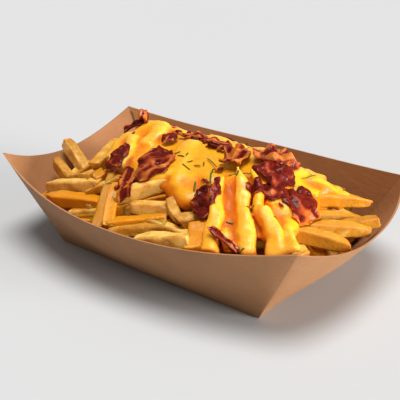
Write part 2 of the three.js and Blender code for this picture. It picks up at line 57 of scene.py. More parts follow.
# Tray: a flat bottom, four flaring walls with curved rims, and four raised tips.
BOTTOM_HALF_LENGTH = 60
BOTTOM_HALF_WIDTH = 36.6
LEFT_TIP = {"out": 28.1, "side": 9.6, "height": 45.3}
RIGHT_TIP = {"out": 23.4, "side": 10.3, "height": 42.4}
LONG_WALL = {"flare": 27, "height": 35.3, "flare_curve": 2, "height_curve": 2.35}
END_WALL = {"flare": 32.8, "height": 32.5, "flare_curve": 2.6, "height_curve": 2}
WALL_BOW = 1.9
BOW_OUT = 0.8
BOW_DOWN = 0.6
LEVEL_SHARE = 1.3  # a flaring wall's thickness, measured level, over its true thickness
FOLD_WIDTH = 0.016  # of a wall's half length
WALL_LEVELS = (0, 0.02, *np.linspace(0.08, 0.94, 11), 1)  # how far up the walls their points are
RING_POINTS = (44, 28)  # along each long wall and along each end wall
TAB = {"tip": 0.012, "edge": 0.045, "bottom": 0.06, "top": 0.96, "thick": 0.5, "sunk": 0.3}
TAB_POINTS = {"level": 4, "up": 20}
HALFWAY_OUT = (LEFT_TIP["out"] + RIGHT_TIP["out"]) / 4  # how far out the tips are half way up
HALFWAY_SIDE = 6  # and how far to the side
RIM_MARGIN = 1  # how far over the rim a thing is still kept inside the walls

# Heap: a level bed of fries with a mound along the middle of the tray.
BED_HEIGHT = 29
BED_ENDS = {"start": 62, "fall": 34, "drop": 14}
MOUND_HEIGHT = 27
MOUND_LEFT = {"start": -36, "fall": 30}
MOUND_RIGHT = {"start": 36, "fall": 56}
MOUND_REACH = {"front": 58, "back": 42}
MOUND_CURVE = 1.8
WALL_CLEARANCE = 0.5
CORE = {"depth": 12, "inset": 3, "foot": 0.1, "shoulder": 0.5}  # low in the heap, under the fries
CORE_RINGS = (0.55, 0.5, 0.4, 0.3, 0.2, 0.1)  # how wide its rings are, from its shoulder inward
CORE_POINTS = (30, 20)
CORE_PAINT = (1.0, 1.0, 0.3)  # its tone, its browning and its sauce

FRY_THICK = 7


def fry(start, end, thick=FRY_THICK, wide=None, bend=0, taper=0, slant=0, sauce=0, tips=(0, 0), **more):
    """One fry from end to end. bend is how far its middle rises, taper how much thinner its
    second end is, slant how far its cut ends lean, sauce how much of it is coated and tips how
    much its two ends are pointed. More can be given: turn, how far it is turned on itself in
    degrees, tone, from 0 for pale to 1 for golden, which is left to chance otherwise, and
    deep, how orange the cheese on it is."""
    wide = thick if wide is None else wide
    return {
        "start": start,
        "end": end,
        "thick": thick,
        "wide": wide,
        "bend": bend,
        "taper": taper,
        "slant": slant,
        "sauce": sauce,
        "tips": tips,
        "turn": more.get("turn", 0),
        "tone": more.get("tone"),
        "deep": more.get("deep", 0),
    }


# The fries that show, each from one end to the other.
SHOWN_FRIES = [
    # leaning on the left end wall
    fry((-89, -3, 38), (-66, -9, 24), tips=(0.1, 0)),
    fry((-81, -18, 34), (-58, -22, 24), thick=6.5, tips=(0.3, 0)),
    fry((-77, 0, 27), (-73, -18, 24), thick=4.5),
    # lying along the tray at its left end
    # its pale tone is partly painted light, lifting it out of the heap's shade
    fry((-71, -34, 27), (-28, -39, 40), thick=6.5, taper=-0.1, tips=(0.6, 0), tone=0),
    fry((-76, -19, 25), (-36, -36, 41), thick=4.5, tips=(0.4, 0)),
    fry((-55, -50, 30), (-22, -44, 34), sauce=0.7, tips=(0.4, 0), tone=1),
    fry((-32, -43, 37), (-18, -33, 43), thick=5, sauce=0.3, tips=(0.3, 0)),
    fry((-38, -31, 44), (-41, -9, 50), thick=6, sauce=0.3),
    fry((-60, 24, 26), (-24, 30, 42)),
    fry((-37, -30, 41.5), (-29, -36, 42), thick=7, wide=8, sauce=0.4, tips=(0.3, 0.3), turn=20),
    # running down to the front rim, left of the cheese
    fry((-13, -57, 29), (-27, -30, 44), thick=5.5, sauce=0.3, tone=1),
    fry((-7, -55, 31), (-20, -32, 42), thick=6, sauce=0.8),
    # lying across the front
    fry(
        (-14, -44, 37), (9, -24, 47), thick=8.5, wide=9.5,
        bend=1.5, taper=0.2, sauce=0.3, tips=(0.2, 0.4), tone=0,
    ),
    fry((-5, -43, 37), (13, -37, 39), thick=6, sauce=0.2, tips=(0.35, 0), tone=0.1),
    fry((-12, -45, 34), (8, -28, 40), thick=6, sauce=1.0),
    fry((-9, -54, 31), (14, -40, 35), thick=6.5, sauce=1.0),
    fry((-6, -56, 30), (18, -45, 34), thick=5, wide=7, sauce=0.2, tips=(0.5, 0), tone=0.4),
    fry((11, -57, 31), (37, -53, 37), tips=(0.3, 0), tone=0),
    fry((12, -35, 41), (23, -42, 36), thick=5.5, tips=(0, 0.6)),
    fry((24, -43, 37), (36, -30, 40), thick=7),
    fry((33, -42, 37), (40, -56, 32), thick=8, sauce=0.9),
    # reaching out of the cheese at the right end
    # their golden tones and sauce are partly painted shade, darker where the side light falls strongly
    fry(
        (78, 21, 37), (56, -2, 42), thick=5.5, wide=6,
        taper=-0.6, slant=3, sauce=0.4, tips=(0.2, 0), tone=1,
    ),
    fry((81, 14, 32), (58, -8, 36), thick=4.5, tips=(0.5, 0)),
    fry((88, 6, 32), (58, -22, 36), thick=6, bend=1, sauce=0.2, tips=(0.2, 0), tone=0.9),
    fry((89, 11, 35), (74, -2, 32), thick=5, wide=6.5, sauce=0.2, tone=1),
    fry((88, -13, 33), (56, -27, 37), thick=6.5, bend=1, sauce=0.2, tips=(0.3, 0), tone=0.8),
    fry((82, -39, 37), (66, -30, 30), thick=6),
    fry((84, -4, 22), (58, 2, 27)),
    fry((76, 24, 22), (50, 18, 34)),
    fry((76, -28, 28), (54, -14, 32)),
]

# The rest of the fries, one for each place of a few rows, shifted, turned and cut by chance.
LOOSE = {"seed": 7, "length": (26, 42), "thick": (5.5, 7), "shift": 4, "spread": 2.5, "margin": 4}
LOOSE_ROWS = [
    # down the back, from the mound to the wall
    {"start": (-44, 22), "end": (44, 22), "count": 6, "sunk": 3},
    {"start": (-58, 34), "end": (40, 34), "count": 8, "sunk": 3.5},
    {"start": (-46, 45), "end": (40, 45), "count": 7, "sunk": 3.5},
    # across the left end and the right end
    {"start": (-64, -30), "end": (-64, 20), "count": 4, "sunk": 6.5},
    {"start": (-74, -16), "end": (-74, 22), "count": 3, "sunk": 6.5},
    {"start": (66, -18), "end": (64, 14), "count": 3, "sunk": 6},
    # along the front, under the fries that show
    {"start": (-40, -44), "end": (26, -44), "count": 4, "sunk": 6},
    # on the slope at the left of the cheese
    {"start": (-51, -12), "end": (-51, 10), "count": 3, "sunk": 7},
]
# Deeper layers of the same rows, which close the gaps between the fries on top.
DEEPER_LAYERS = [{"seed": 21, "sunk": 4.5}, {"seed": 34, "sunk": 8}]
# Their sauce is partly sauce run down between the fries and partly painted shade in the gaps.
DEEPER_SAUCE = 0.5
TRAY_SPAN = {"ends": 0.86, "middle_width": 20, "end_width": 13}

# How each fry is cut.
FRY_SEED = 101
FRY_SIDE_POINTS = (0.06, 0.5, 0.94)  # where the points of each of its four sides are
FRY_STATIONS = 14
FRY_CORNER = 0.28  # of its half width, how far its corners are rounded
FRY_CORNER_CUT = 0.3  # of that, how far the middle of the rounding is cut back
FRY_UNEVEN = 0.4  # how much its corners differ
FRY_SHRUNK = 0.6  # the share of them that is drawn in
FRY_HOLLOW = 0.06  # of its half width, how much its sides are sunken
FRY_SWAY = 0.1  # of its length, how far it bends sideways
FRY_TWIST = 30  # degrees
FRY_WAIST = 0.05  # how much its thickness comes and goes along it
FRY_CUT = 1.0  # how slanting its cut ends can be
FRY_TIP = 9  # how far from its ends it is narrowed
FRY_TIP_CHANCE = 0.2  # how much more than that some ends are
FRY_EDGE = 0.6  # how far a cut end is rounded
FRY_EDGE_STEPS = (0, 0.3, 1, 2.2)  # of that, where the rings at a cut end are
FRY_EDGE_SIZES = (0.5, 0.9, 0.97, 1, 1)  # how wide they are, after a smaller one in the cut
FRY_DENTS = {"deep": 0.45, "size": 5.5}
FRY_PORES = {"deep": 0.12, "size": 1.7}
FRY_CHIPS = {"deep": 0.7, "size": 3.2}  # at its corners
# And how it is browned and soaked.
FRY_CORNER_BROWN = (0.7, 1.0, 0.7)  # across a rounded corner, as shares of the next
FRY_EDGE_BROWN = 0.55
FRY_END_BROWN = {"most": 0.75, "reach": 1.6}
FRY_FACE_TONE = 0.8  # how much the tones of its sides differ
FRY_CUT_FACE = {"tone": 0.4, "sauce": 0.5}  # as shares of those of its sides
# Painted shade deep in the heap: the fries are painted browner and more sauced there.
HEAP_SHADE = {"from": 2, "to": 8, "brown": 0.9, "sauce": 0.25}  # how deep in the heap, and how much

# Cheese sauce: a poured sheet over the mound, fries coated in it, and lumps.
SHEET_RISE = -1.4  # between the fries that it covers
SHEET_DROOP = {"reach": 9, "fall": 3}  # how it thins out towards its edge
SHEET_EDGE = 3.0  # how wide its edge is rounded
SHEET_OUTLINE = [
    # along the front, from the left
    (-38, -24), (-26, -30), (-12, -28), (2, -28), (13, -31), (22, -29), (29, -24), (37, -19),
    (46, -21), (56, -24), (65, -22),
    # round the right end, and back along the back
    (66, -14), (65, -2), (63, 12), (52, 26), (34, 26), (22, 36), (6, 30), (-12, 35), (-26, 28),
    (-38, 20), (-44, 0),
]
SHEET_WAVES = {"large": 1.2, "small": 0.8}  # how far they move its edge in and out
# deep, on some of them, is painted shade: their cheese is painted more orange.
COATED_FRIES = [
    # running down the front to the rim
    fry(
        (32.4, -24.8, 55), (46.5, -52.5, 33), thick=4.5, wide=4.6,
        taper=-0.75, tips=(0.3, 0), turn=6, deep=0.7,
    ),
    fry((35, -15.3, 57.5), (61, -45.5, 33), thick=4.8, taper=-0.5, tips=(0.8, 0), turn=8),
    fry((41.5, -15, 57), (62.5, -36.5, 37.5), thick=4, taper=-0.1, tips=(0.6, 0), deep=0.9),
    fry(
        (56, -26.5, 48), (71, -39.5, 33), thick=5.2, wide=5.6,
        taper=-0.5, tips=(0.2, 0), turn=22, deep=0.3,
    ),
    fry((66, -27, 39), (77, -38, 36), thick=6, turn=20),
    fry((56, -20, 44), (69, -17, 38), thick=5, wide=8, tips=(0, 0.5), deep=0.4),
    # at the right end
    fry((50, 8, 48), (64, 13, 43), thick=7, tips=(0.2, 0.3), deep=0.9),
    fry((56, 6, 46), (71, 16, 37), thick=8, deep=0.9),
    # at the left, under the bacon
    fry((-23, -30, 46), (-31, -8, 53), thick=7),
    fry((-8, -30, 46), (6, -26, 48), thick=6),
    fry((-20, -14, 52), (-27, 8, 55), thick=7.5),
    # down the back
    fry((32, 14, 44), (44, 44, 30), thick=8),
    fry((42, 12, 43), (58, 34, 30), thick=7),
    fry((10, 18, 46), (2, 46, 29), thick=8),
    fry((16, 16, 46), (25, 43, 30), thick=7),
    fry((-14, 18, 46), (-24, 45, 29), thick=8),
    fry((-26, 14, 45), (-44, 34, 30), thick=7),
]
LUMPS = [
    # high on the left, beside the standing bacon
    {"at": (-33, 5, 53), "size": (7, 6, 5)},
    {"at": (-23, -1, 54), "size": (4, 4, 4)},
    # on the fry that lies across the front
    {"at": (-2, -29, 45), "size": (8, 5, 3.5)},
    # elsewhere along the sheet's edge
    {"at": (31, 2, 54), "size": (6, 7, 4)},
    {"at": (14, -30, 42.5), "size": (6, 4, 4)},
    {"at": (20, -31, 42), "size": (5, 6, 4)},
    {"at": (65.5, -24.5, 39), "size": (2.5, 2.5, 2)},
]
CHEESE_FIELD = {"low": (-52, -64, 20), "high": (86, 56, 64), "cell": 0.9}
# Fries that lie under the sheet and show as ridges in it.
COVERED_FRIES = [
    fry((5, 1, 52), (16, -31, 43.5), thick=6, wide=18, turn=-4),
    fry((-1, -3, 52.5), (8, -27, 45), thick=6, turn=20),
    fry((-6, 8, 50), (18, 10, 50), thick=7),
    fry((30, 8, 50), (52, 2, 46), thick=8),
    fry((40, -4, 50), (58, -20, 43), thick=8),
    fry((0, 20, 44), (-22, 24, 41), thick=8),
    fry((30, 20, 44), (14, 32, 36), thick=8),
    fry((-30, 14, 47), (-34, -10, 50), thick=7),
]
OUTLINE_STEPS = 6  # from one corner of the sheet's outline to the next
CHEESE_COAT = 0.8  # on the fries that lie under the sheet
CHEESE_DEPTH = 8  # from the sheet's top to its underside
COVERED_ROUNDING = 0.26  # of its thickness, how far a covered fry's corners are rounded
COATED_ROUNDING = 0.32  # and a coated fry's
COATED_TIP = 16  # how far from its ends a coated fry is narrowed
COATED_SWAY = 2  # the most that its waves move a coated fry
COATED_WAVES = [
    # two along each axis: how far each moves a place, how fast it comes along x, y and z, and
    # how it is shifted
    [(0.7, (0, 0.23, 0.31), 0), (0.35, (0, -0.52, 0.61), 0)],
    [(0.7, (0.27, 0, -0.19), 2), (0.35, (0.57, 0, 0.66), 0)],
    [(0.5, (0.29, 0.25, 0), 4), (0.3, (-0.43, 0.71, 0), 0)],
]
CHEESE_MELT = 4.5  # how wide the fillets between the covered fries are
COATED_MELT = 1.4  # and those beside the coated fries
CHEESE_RIPPLES = {"deep": 0.4, "size": 7.0}
CHEESE_DIMPLES = {"deep": 0.18, "size": 2.5}
# How its paint is found: small and large hollows, thin and steep places, coated fries.
# The hollows are painted shade, and steep places are partly thinner sauce and partly painted shade.
SMALL_HOLLOWS = {"rounds": 10, "deep": 0.9}
LARGE_HOLLOWS = {"rounds": 50, "deep": 2.4}
CHEESE_THIN = {"reach": 10, "share": 0.5}  # how far in from the sheet's edge it is more orange
CHEESE_STEEP = {"from": 0.25, "fall": 0.6}  # how far up a surface faces that counts as steep
COATED_PAINT = 1.5  # how far off a coated fry its own paint reaches
# Webs of cheese that hang between the coated fries.
WEBS = [
    fry((33, -18.5, 53), (54, -48, 35.5), thick=3, wide=6),
    fry((48, -20, 45), (60, -34, 36), thick=3, wide=9),
    fry((24, -20, 50), (36, -32, 44), thick=4, wide=8),
    fry((60, -21, 43), (68, -26, 38), thick=3.5, wide=9),
]

# Chives: short cut blades lying on the cheese, each at a place, turned by an angle in degrees.
CHIVES = [
    {"at": (19, -14), "turn": -25, "length": 9},
    {"at": (25, -22), "turn": -60, "length": 10},
    {"at": (34, -18), "turn": 80, "length": 6},
    {"at": (21, -29), "turn": -60, "length": 5},
    {"at": (3, -16), "turn": -5, "length": 4},
    {"at": (10, -21), "turn": -10, "length": 5},
    {"at": (14, -18), "turn": 20, "length": 3},
    {"at": (57, 6), "turn": 70, "length": 8},
    {"at": (-31, -32), "turn": 15, "length": 4},
    {"at": (18, 14), "turn": 40, "length": 7},
    {"at": (-12, 18), "turn": -50, "length": 6},
    {"at": (40, 20), "turn": 15, "length": 6},
    # the small ones between them
    {"at": (38, -21), "turn": 110, "length": 3},
    {"at": (38, -15), "turn": 30, "length": 2.5},
    {"at": (40, -13), "turn": 75, "length": 4},
    {"at": (-1, -14), "turn": 30, "length": 3},
    {"at": (5, -14), "turn": 100, "length": 2},
    {"at": (9, -17), "turn": 60, "length": 2.5},
    {"at": (16, -16), "turn": 120, "length": 2.5},
    {"at": (23, -25), "turn": 10, "length": 3},
    {"at": (30, -28), "turn": 30, "length": 4},
    {"at": (24, -32), "turn": 100, "length": 3},
    {"at": (47, -39), "turn": 20, "length": 3},
    {"at": (51, -30), "turn": 50, "length": 3},
    {"at": (62, -28), "turn": 100, "length": 3},
    {"at": (58, -47), "turn": 40, "length": 3},
    {"at": (-33, -28), "turn": 70, "length": 2.5},
]
CHIVE_SEED = 900
CHIVE_WIDTH = (0.55, 0.85)
CHIVE_FLAT = 0.55  # how thick it is for its width
CHIVE_BEND = 0.08  # of its length
CHIVE_OFF = 0.25  # how far its middle is off what it lies on
CHIVE_CUT = 0.75  # how much narrower its cut ends are
CHIVE_POINTS = {"along": 9, "round": 8}
CHIVE_LIGHT = 0.6  # how light a blade can be, next to its cut faces


def slice_of(at, lift, length, width, heading, ruffle=1.0, curl=1.0, tip=0, roll=0, **more):
    """One bacon piece: where its middle lies, how far off the heap, its size and heading, how
    deep its ruffles are, how far its ends curl down, and its tip-up and its roll in degrees.
    More can be given: stands, for a piece that isn't laid on what is under it, how fat, amber
    and charred it is, how marked its streaks are, and graded, how much fatter it gets along
    its length."""
    stands = more.pop("stands", False)
    return {
        "at": at,
        "lift": lift,
        "length": length,
        "width": width,
        "heading": heading,
        "ruffle": ruffle,
        "curl": curl,
        "tip": tip,
        "roll": roll,
        "stands": stands,
        "looks": {"fat": 0.35, "graded": 0, "amber": 0.6, "char": 0.5, "streaks": 1, **more},
    }


BACON = [
    slice_of((-27, -26), 1, 16, 9, 100, ruffle=0.5, curl=0.5, fat=0.25, char=0.7, streaks=0.3),
    slice_of((-42, -2), 1.5, 14, 6, 15, ruffle=0.8, roll=50, fat=0.2, char=0.8),
    slice_of((-35, 1), 2, 14, 5, 128, tip=80, stands=True, fat=0.6, amber=0.9),
    slice_of((-13, -5), 1.5, 10, 7, 110, curl=0.5, fat=0.2),
    slice_of(
        (-6, -25), 2.5, 23, 17, -70, ruffle=0.8, curl=2,
        fat=0.42, graded=0.35, char=0.2, streaks=0.35,
    ),
    slice_of((-12, -38), 1, 20, 7, 115, fat=0.5, amber=1.0),
    slice_of((31.5, -35), 2, 17, 13, 110, ruffle=1.0, fat=0.2, amber=0.9, streaks=0.6),
    slice_of((51, -49), 6, 16, 3.4, -14, ruffle=0.3, curl=0, tip=-20, stands=True, fat=0.5, amber=0),
    slice_of((28, -8), 3.5, 15, 12, 90, ruffle=2.0, fat=0.75, amber=0.8, char=0.3),
    slice_of((43.5, 1.5), 4.5, 21, 13, 35, ruffle=2.2, curl=2.5, fat=0.7, amber=0.6, char=0.1),
    slice_of(
        (49, -8), 4, 19, 15, -10, ruffle=1.6, curl=2, tip=4,
        fat=0.15, amber=0.5, char=0.3, streaks=0.6,
    ),
    slice_of((54, -18), 3, 20, 10, 35, ruffle=1.2, curl=2, fat=0.15, amber=0.4, char=0.3),
    slice_of(
        (67, -12), 5, 23, 17, -20, ruffle=0.4, curl=4,
        fat=0.3, graded=0.8, amber=0.9, char=0.1, streaks=0.5,
    ),
    slice_of((-4, 4), 1.5, 13, 6, 25, ruffle=1.2, fat=0.3),
    slice_of((10, 2), 1.5, 15, 6, 5, ruffle=1.2, fat=0.4, amber=0.8),
    slice_of((-4, 28), 1, 19, 12, 30, ruffle=1.2),
    slice_of((27, 26), 1, 20, 13, 140, ruffle=1.2),
    slice_of((-28, 20), 1, 16, 11, 80, ruffle=1.2),
]
# How each piece is crumpled.
BACON_GRID = {"along": 70, "across": 44}
BACON_PHASE = 2.4  # from one piece to the next, so that no two are alike
BACON_FOLDS = {"deep": 1.3, "size": 6.0, "level": 0.6}
BACON_WRINKLES = {"deep": 0.25, "size": 2.6}
BACON_PIMPLES = {"deep": 0.04, "size": 1.0}
BACON_RUFFLES = {"apart": 9, "folded": 0.8, "slant": 0.9, "even": 0.65}
BACON_CURL_ACROSS = 0.5  # of its curl along its length
BACON_CORNERS = 0.36  # how far its corners are rounded
BACON_RAGGED = {"deep": 0.11, "size": 3.5, "fine": 0.4, "fine_size": 1.3}  # its edge
BACON_SIDES = 0.14  # how much its width comes and goes
BACON_ENDS = 0.1  # and its length
BACON_RIM = {"thin": 0.25, "start": 1.1, "sharp": 10}  # how it thins out at its edge
BACON_UNEVEN = 0.3  # how much its thickness follows its pimples
BACON_OFF = {"least": 0.25, "most": 0.3}  # how far it keeps off what it lies on, and how unevenly
CREASE_SOFTNESS = 0.004
# And how it is painted.
BACON_STREAKS = {"across": 5.2, "sway": 1.6, "wrinkled": 1.2}  # how close and how wavy they are
# Its folds are painted: paler fat on their crests for painted light, darker lean in their hollows for
# painted shade.
BACON_FAT = {"spread": 1.4, "folded": 0.8}  # how much it differs from piece to piece and by folds
BACON_CHAR = {"inner": 0.25, "edge": 0.75, "wrinkled": 0.3}
BACON_AMBER = 0.4  # how much it follows the ragged edge

# Crumbs of bacon: rows of them, each from one place to another.
CRUMB_ROWS = [
    {"start": (-16, 4), "end": (20, -2), "count": 16, "size": (2, 4.5)},
    {"start": (-34, -12), "end": (-14, -40), "count": 7, "size": (1.5, 3)},
    {"start": (22, -10), "end": (30, -36), "count": 7, "size": (1.5, 3.5)},
    {"start": (38, 4), "end": (60, -22), "count": 9, "size": (2, 4)},
    {"start": (-30, 24), "end": (40, 26), "count": 9, "size": (1.5, 3.5)},
    {"start": (-64, -8), "end": (-56, -10), "count": 2, "size": (3.5, 4.5)},
]
CRUMB_SEED = 55
CRUMB_SPREAD = 5
CRUMB_SIDES = 9
CRUMB_STRETCH = (1.2, 2.0)  # how much longer than wide
CRUMB_LEAN = 1.2
CRUMB_RISE = 0.15  # of its size, how far its middle is off what it lies on
CRUMB_THICK = 0.4  # of its size
CRUMB_RAGGED = (0.75, 1.25)  # how far out its corners are, as a share of its half width
CRUMB_PAINT = {"fat": 0.7, "char": 0.5, "amber": 0.9}  # at the most
CRUMB_RINGS = [  # how high each ring of its points is in it, and how wide
    (-0.5, 0.5),
    (-0.25, 0.95),
    (0.15, 1.0),
    (0.5, 0.6),
]

FLOOR_HALF = 2000
SKY = 100  # a height over everything, from which the tops of things are sought

# Soft lights: where each comes from, and how wide it is in degrees.
KEY_LIGHT = {"from": (0.08, -0.02, 0.98), "width": 32}
SIDE_LIGHT = {"from": (0.96, 0.18, 0.1), "width": 30}


# Numbers

def mix(low, high, share):
    """The value a share of the way from low to high."""
    return low + (high - low) * share


def smoothstep(value):
    """A smooth step from 0 to 1 while the value goes from 0 to 1."""
    held = np.clip(value, 0, 1)
    return held * held * (3 - 2 * held)


def random_from(seed):
    """Seeded random numbers from 0 to 1, the same on every run."""
    word = 0xFFFFFFFF
    state = seed & word

    def draw():
        nonlocal state
        state = (state + 0x6D2B79F5) & word
        mixed = ((state ^ (state >> 15)) * (state | 1)) & word
        mixed ^= (mixed + ((mixed ^ (mixed >> 7)) * (mixed | 61) & word)) & word
        return ((mixed ^ (mixed >> 14)) & word) / (word + 1)

    return draw


def arch(share):
    """0 at both ends, where the share is 0 or 1, and 1 halfway."""
    return 4 * share * (1 - share)


def unit(vector):
    """The vector at length 1."""
    return vector / np.linalg.norm(vector)


def turned(vector, axis, angle):
    """The vector turned about an axis of length 1, in degrees."""
    radians = math.radians(angle)
    across = np.cross(axis, vector)
    kept = axis * np.dot(axis, vector) * (1 - math.cos(radians))
    return vector * math.cos(radians) + across * math.sin(radians) + kept


def noise_at(points, size, shift=0.0):
    """Smooth noise from about -1 to 1 at each point, with bumps of the given size."""
    offset = Vector((shift, 2.3 * shift, -shift))
    return np.array([noise.noise(Vector(point) / size + offset) for point in points])


def relief(points, waves, shift=0.0):
    """How far waves of a given depth and size lift each point."""
    return waves["deep"] * noise_at(points, waves["size"], shift)


# Meshes

def quads(index):
    """The faces of a grid of point numbers."""
    corners = (index[:-1, :-1], index[:-1, 1:], index[1:, 1:], index[1:, :-1])
    return np.stack([corner.ravel() for corner in corners], axis=1)


def tube(rings):
    """Closed rings of points joined side to side, with a point in the middle of each end."""
    stations, sides = rings.shape[:2]
    points = np.concatenate([rings.reshape(-1, 3), [rings[0].mean(0), rings[-1].mean(0)]])
    index = np.arange(stations * sides).reshape(stations, sides)
    index = np.concatenate([index, index[:, :1]], axis=1)
    faces = quads(index).tolist()
    start = stations * sides
    for k in range(sides):
        faces.append([start, int(index[0, k + 1]), int(index[0, k])])
        faces.append([start + 1, int(index[-1, k]), int(index[-1, k + 1])])
    return points, faces


def slab(upper, lower):
    """Two grids of points, one over the other, closed round their edges."""
    rows, columns = upper.shape[:2]
    points = np.concatenate([upper.reshape(-1, 3), lower.reshape(-1, 3)])
    index = np.arange(rows * columns).reshape(rows, columns)
    under = rows * columns
    rim = np.concatenate([index[0, :-1], index[:-1, -1], index[-1, :0:-1], index[:0:-1, 0]])
    ahead = np.roll(rim, -1)
    sides = np.stack([rim + under, ahead + under, ahead, rim], axis=1)
    faces = np.concatenate([quads(index), quads(index + under)[:, ::-1], sides])
    return points, faces.tolist()


def joined(parts):
    """Several sets of points, faces and paint as one."""
    points, faces, paint = [], [], []
    for part_points, part_faces, part_paint in parts:
        start = sum(len(done) for done in points)
        points.append(np.asarray(part_points))
        faces.extend([corner + start for corner in face] for face in part_faces)
        paint.append(np.asarray(part_paint))
    return np.concatenate(points), faces, np.concatenate(paint)


def add_object(name, points, faces, paint, material, sharp=None):
    """A mesh object from points in millimetres. paint holds three shares for each point,
    which the material reads, and sharp is the angle in degrees over which an edge is crisp."""
    mesh = bpy.data.meshes.new(name)
    mesh.from_pydata((np.asarray(points) * MM).tolist(), [], faces)
    colours = np.ones((len(points), 4), dtype=np.float32)
    colours[:, :3] = paint
    mesh.attributes.new("paint", "FLOAT_COLOR", "POINT").data.foreach_set("color", colours.ravel())
    mesh.shade_smooth()
    if sharp is not None:
        mesh.set_sharp_from_angle(angle=math.radians(sharp))
    mesh.materials.append(material)
    made = bpy.data.objects.new(name, mesh)
    bpy.context.scene.collection.objects.link(made)
    return made


def hand_over(piece, slot, *nodes):
    """Rides a piece on the body, in the place of its nodes."""
    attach(piece, BODY)
    if nodes:
        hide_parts(*nodes)


def surfaces_of(*names):
    """The surfaces of pieces that are already made, to lay things on."""
    depsgraph = bpy.context.evaluated_depsgraph_get()
    return [BVHTree.FromObject(bpy.data.objects[name], depsgraph) for name in names]


def top_at(surfaces, x, y):
    """The height of the highest surface over a point, and at least that of the heap."""
    best = float(heap_top(x, y))
    for surface in surfaces:
        place = surface.ray_cast(Vector((x * MM, y * MM, SKY * MM)), Vector((0, 0, -1)))[0]
        if place is not None:
            best = max(best, place.z / MM)
    return best


# Materials

def start_material(name):
    """A new material, its node tree and its main shader."""
    made = bpy.data.materials.new(name)
    made.use_nodes = True
    return made, made.node_tree, made.node_tree.nodes["Principled BSDF"]


def node(tree, kind, settings=None, **inputs):
    """Adds a node. An input is given a value, or the socket that feeds it."""
    made = tree.nodes.new(kind)
    for name, value in (settings or {}).items():
        setattr(made, name, value)
    for name, value in inputs.items():
        feed(tree, made.inputs[name.replace("_", " ")], value)
    return made


def feed(tree, socket, value):
    """Links a socket to another one, or sets its value."""
    if isinstance(value, bpy.types.NodeSocket):
        tree.links.new(value, socket)
    else:
        socket.default_value = value


def blend_colours(tree, share, first, second, way="MIX"):
    """A colour mixed from two others."""
    made = tree.nodes.new("ShaderNodeMix")
    made.data_type = "RGBA"
    made.blend_type = way
    for socket, value in ((0, share), (6, first), (7, second)):
        feed(tree, made.inputs[socket], value)
    return made.outputs[2]


def maths(tree, operation, first, second, held=False):
    """The result of a sum on two numbers."""
    made = tree.nodes.new("ShaderNodeMath")
    made.operation = operation
    made.use_clamp = held
    feed(tree, made.inputs[0], first)
    feed(tree, made.inputs[1], second)
    return made.outputs[0]


def plus(tree, first, second, held=False):
    """The sum of two numbers, kept from 0 to 1 where it is held."""
    return maths(tree, "ADD", first, second, held)


def times(tree, first, second):
    """The product of two numbers."""
    return maths(tree, "MULTIPLY", first, second)


def between(tree, value, low, high, start=0.0, end=1.0):
    """The value moved from the range low to high into the range start to end."""
    made = node(tree, "ShaderNodeMapRange", {"interpolation_type": "SMOOTHSTEP"}, Value=value)
    for name, number in (("From Min", low), ("From Max", high), ("To Min", start), ("To Max", end)):
        made.inputs[name].default_value = number
    return made.outputs[0]


def places(tree, stretch=(1, 1, 1)):
    """Places on the object, in metres, stretched along its axes."""
    raw = node(tree, "ShaderNodeTexCoord").outputs["Object"]
    return node(tree, "ShaderNodeMapping", Vector=raw, Scale=stretch).outputs[0]


def grain(tree, where, size, detail=3.0, roughness=0.5):
    """Noise with grains of the given size in millimetres."""
    inputs = {"Vector": where, "Scale": 1 / (size * MM), "Detail": detail, "Roughness": roughness}
    return node(tree, "ShaderNodeTexNoise", **inputs).outputs["Fac"]


def painted(tree):
    """The three shares painted on the points."""
    attribute = node(tree, "ShaderNodeAttribute", {"attribute_name": "paint"})
    return node(tree, "ShaderNodeSeparateColor", Color=attribute.outputs["Color"]).outputs


def bumps(tree, height, depth, normal=None):
    """A normal bent by a height of 0 to 1 that stands for a depth in millimetres."""
    made = node(tree, "ShaderNodeBump", Height=height, Distance=depth * MM)
    if normal is not None:
        tree.links.new(normal, made.inputs["Normal"])
    return made.outputs[0]


def finish(tree, shader, colour, roughness, normal=None, **values):
    """Gives the shader its colour, its roughness and its bumps, and sets its other inputs."""
    feed(tree, shader.inputs["Base Color"], colour)
    feed(tree, shader.inputs["Roughness"], roughness)
    if normal is not None:
        feed(tree, shader.inputs["Normal"], normal)
    for name, value in values.items():
        shader.inputs[name.replace("_", " ")].default_value = value


def kraft_paper(settings):
    """Brown paper board: fibres, faint blotches, painted shade at folds, foot and back of food side."""
    material, tree, shader = start_material("kraft_paper")
    fold, inside = painted(tree)[:2]
    where = places(tree)
    fibres = grain(tree, places(tree, (1, 1, 2.5)), size=0.6, detail=6.0, roughness=0.65)
    wrinkles = grain(tree, places(tree, (1, 1, 3)), size=7, detail=4.0, roughness=0.6)
    blotches = between(tree, grain(tree, where, size=14), 0.35, 0.7, 0.0, 0.3)
    specks = between(tree, grain(tree, where, size=0.9, detail=2.0), 0.68, 0.76)
    # Painted shade: the food side is painted darker towards the back of the tray.
    across = node(tree, "ShaderNodeSeparateXYZ", Vector=where).outputs["Y"]
    oil = times(tree, inside, between(tree, across, 0.01, 0.05))
    pulp = between(tree, fibres, 0.3, 0.7)
    colour = blend_colours(tree, pulp, settings.outside, settings.outside_pale)
    colour = blend_colours(tree, times(tree, inside, 0.85), colour, settings.inside)
    colour = blend_colours(tree, times(tree, oil, 0.75), colour, settings.back_shade)
    colour = blend_colours(tree, blotches, colour, settings.blotch, "MULTIPLY")
    colour = blend_colours(tree, times(tree, specks, 0.35), colour, settings.speck)
    # painted shade along the folds and the foot, where the creases and the floor shade the board
    colour = blend_colours(tree, times(tree, fold, 0.3), colour, settings.fold_shade)
    roughness = between(tree, fibres, 0.2, 0.8, 0.62, 0.85)
    normal = bumps(tree, fibres, 0.05, bumps(tree, wrinkles, 0.25))
    finish(tree, shader, colour, roughness, normal, Specular_IOR_Level=0.35)
    return material


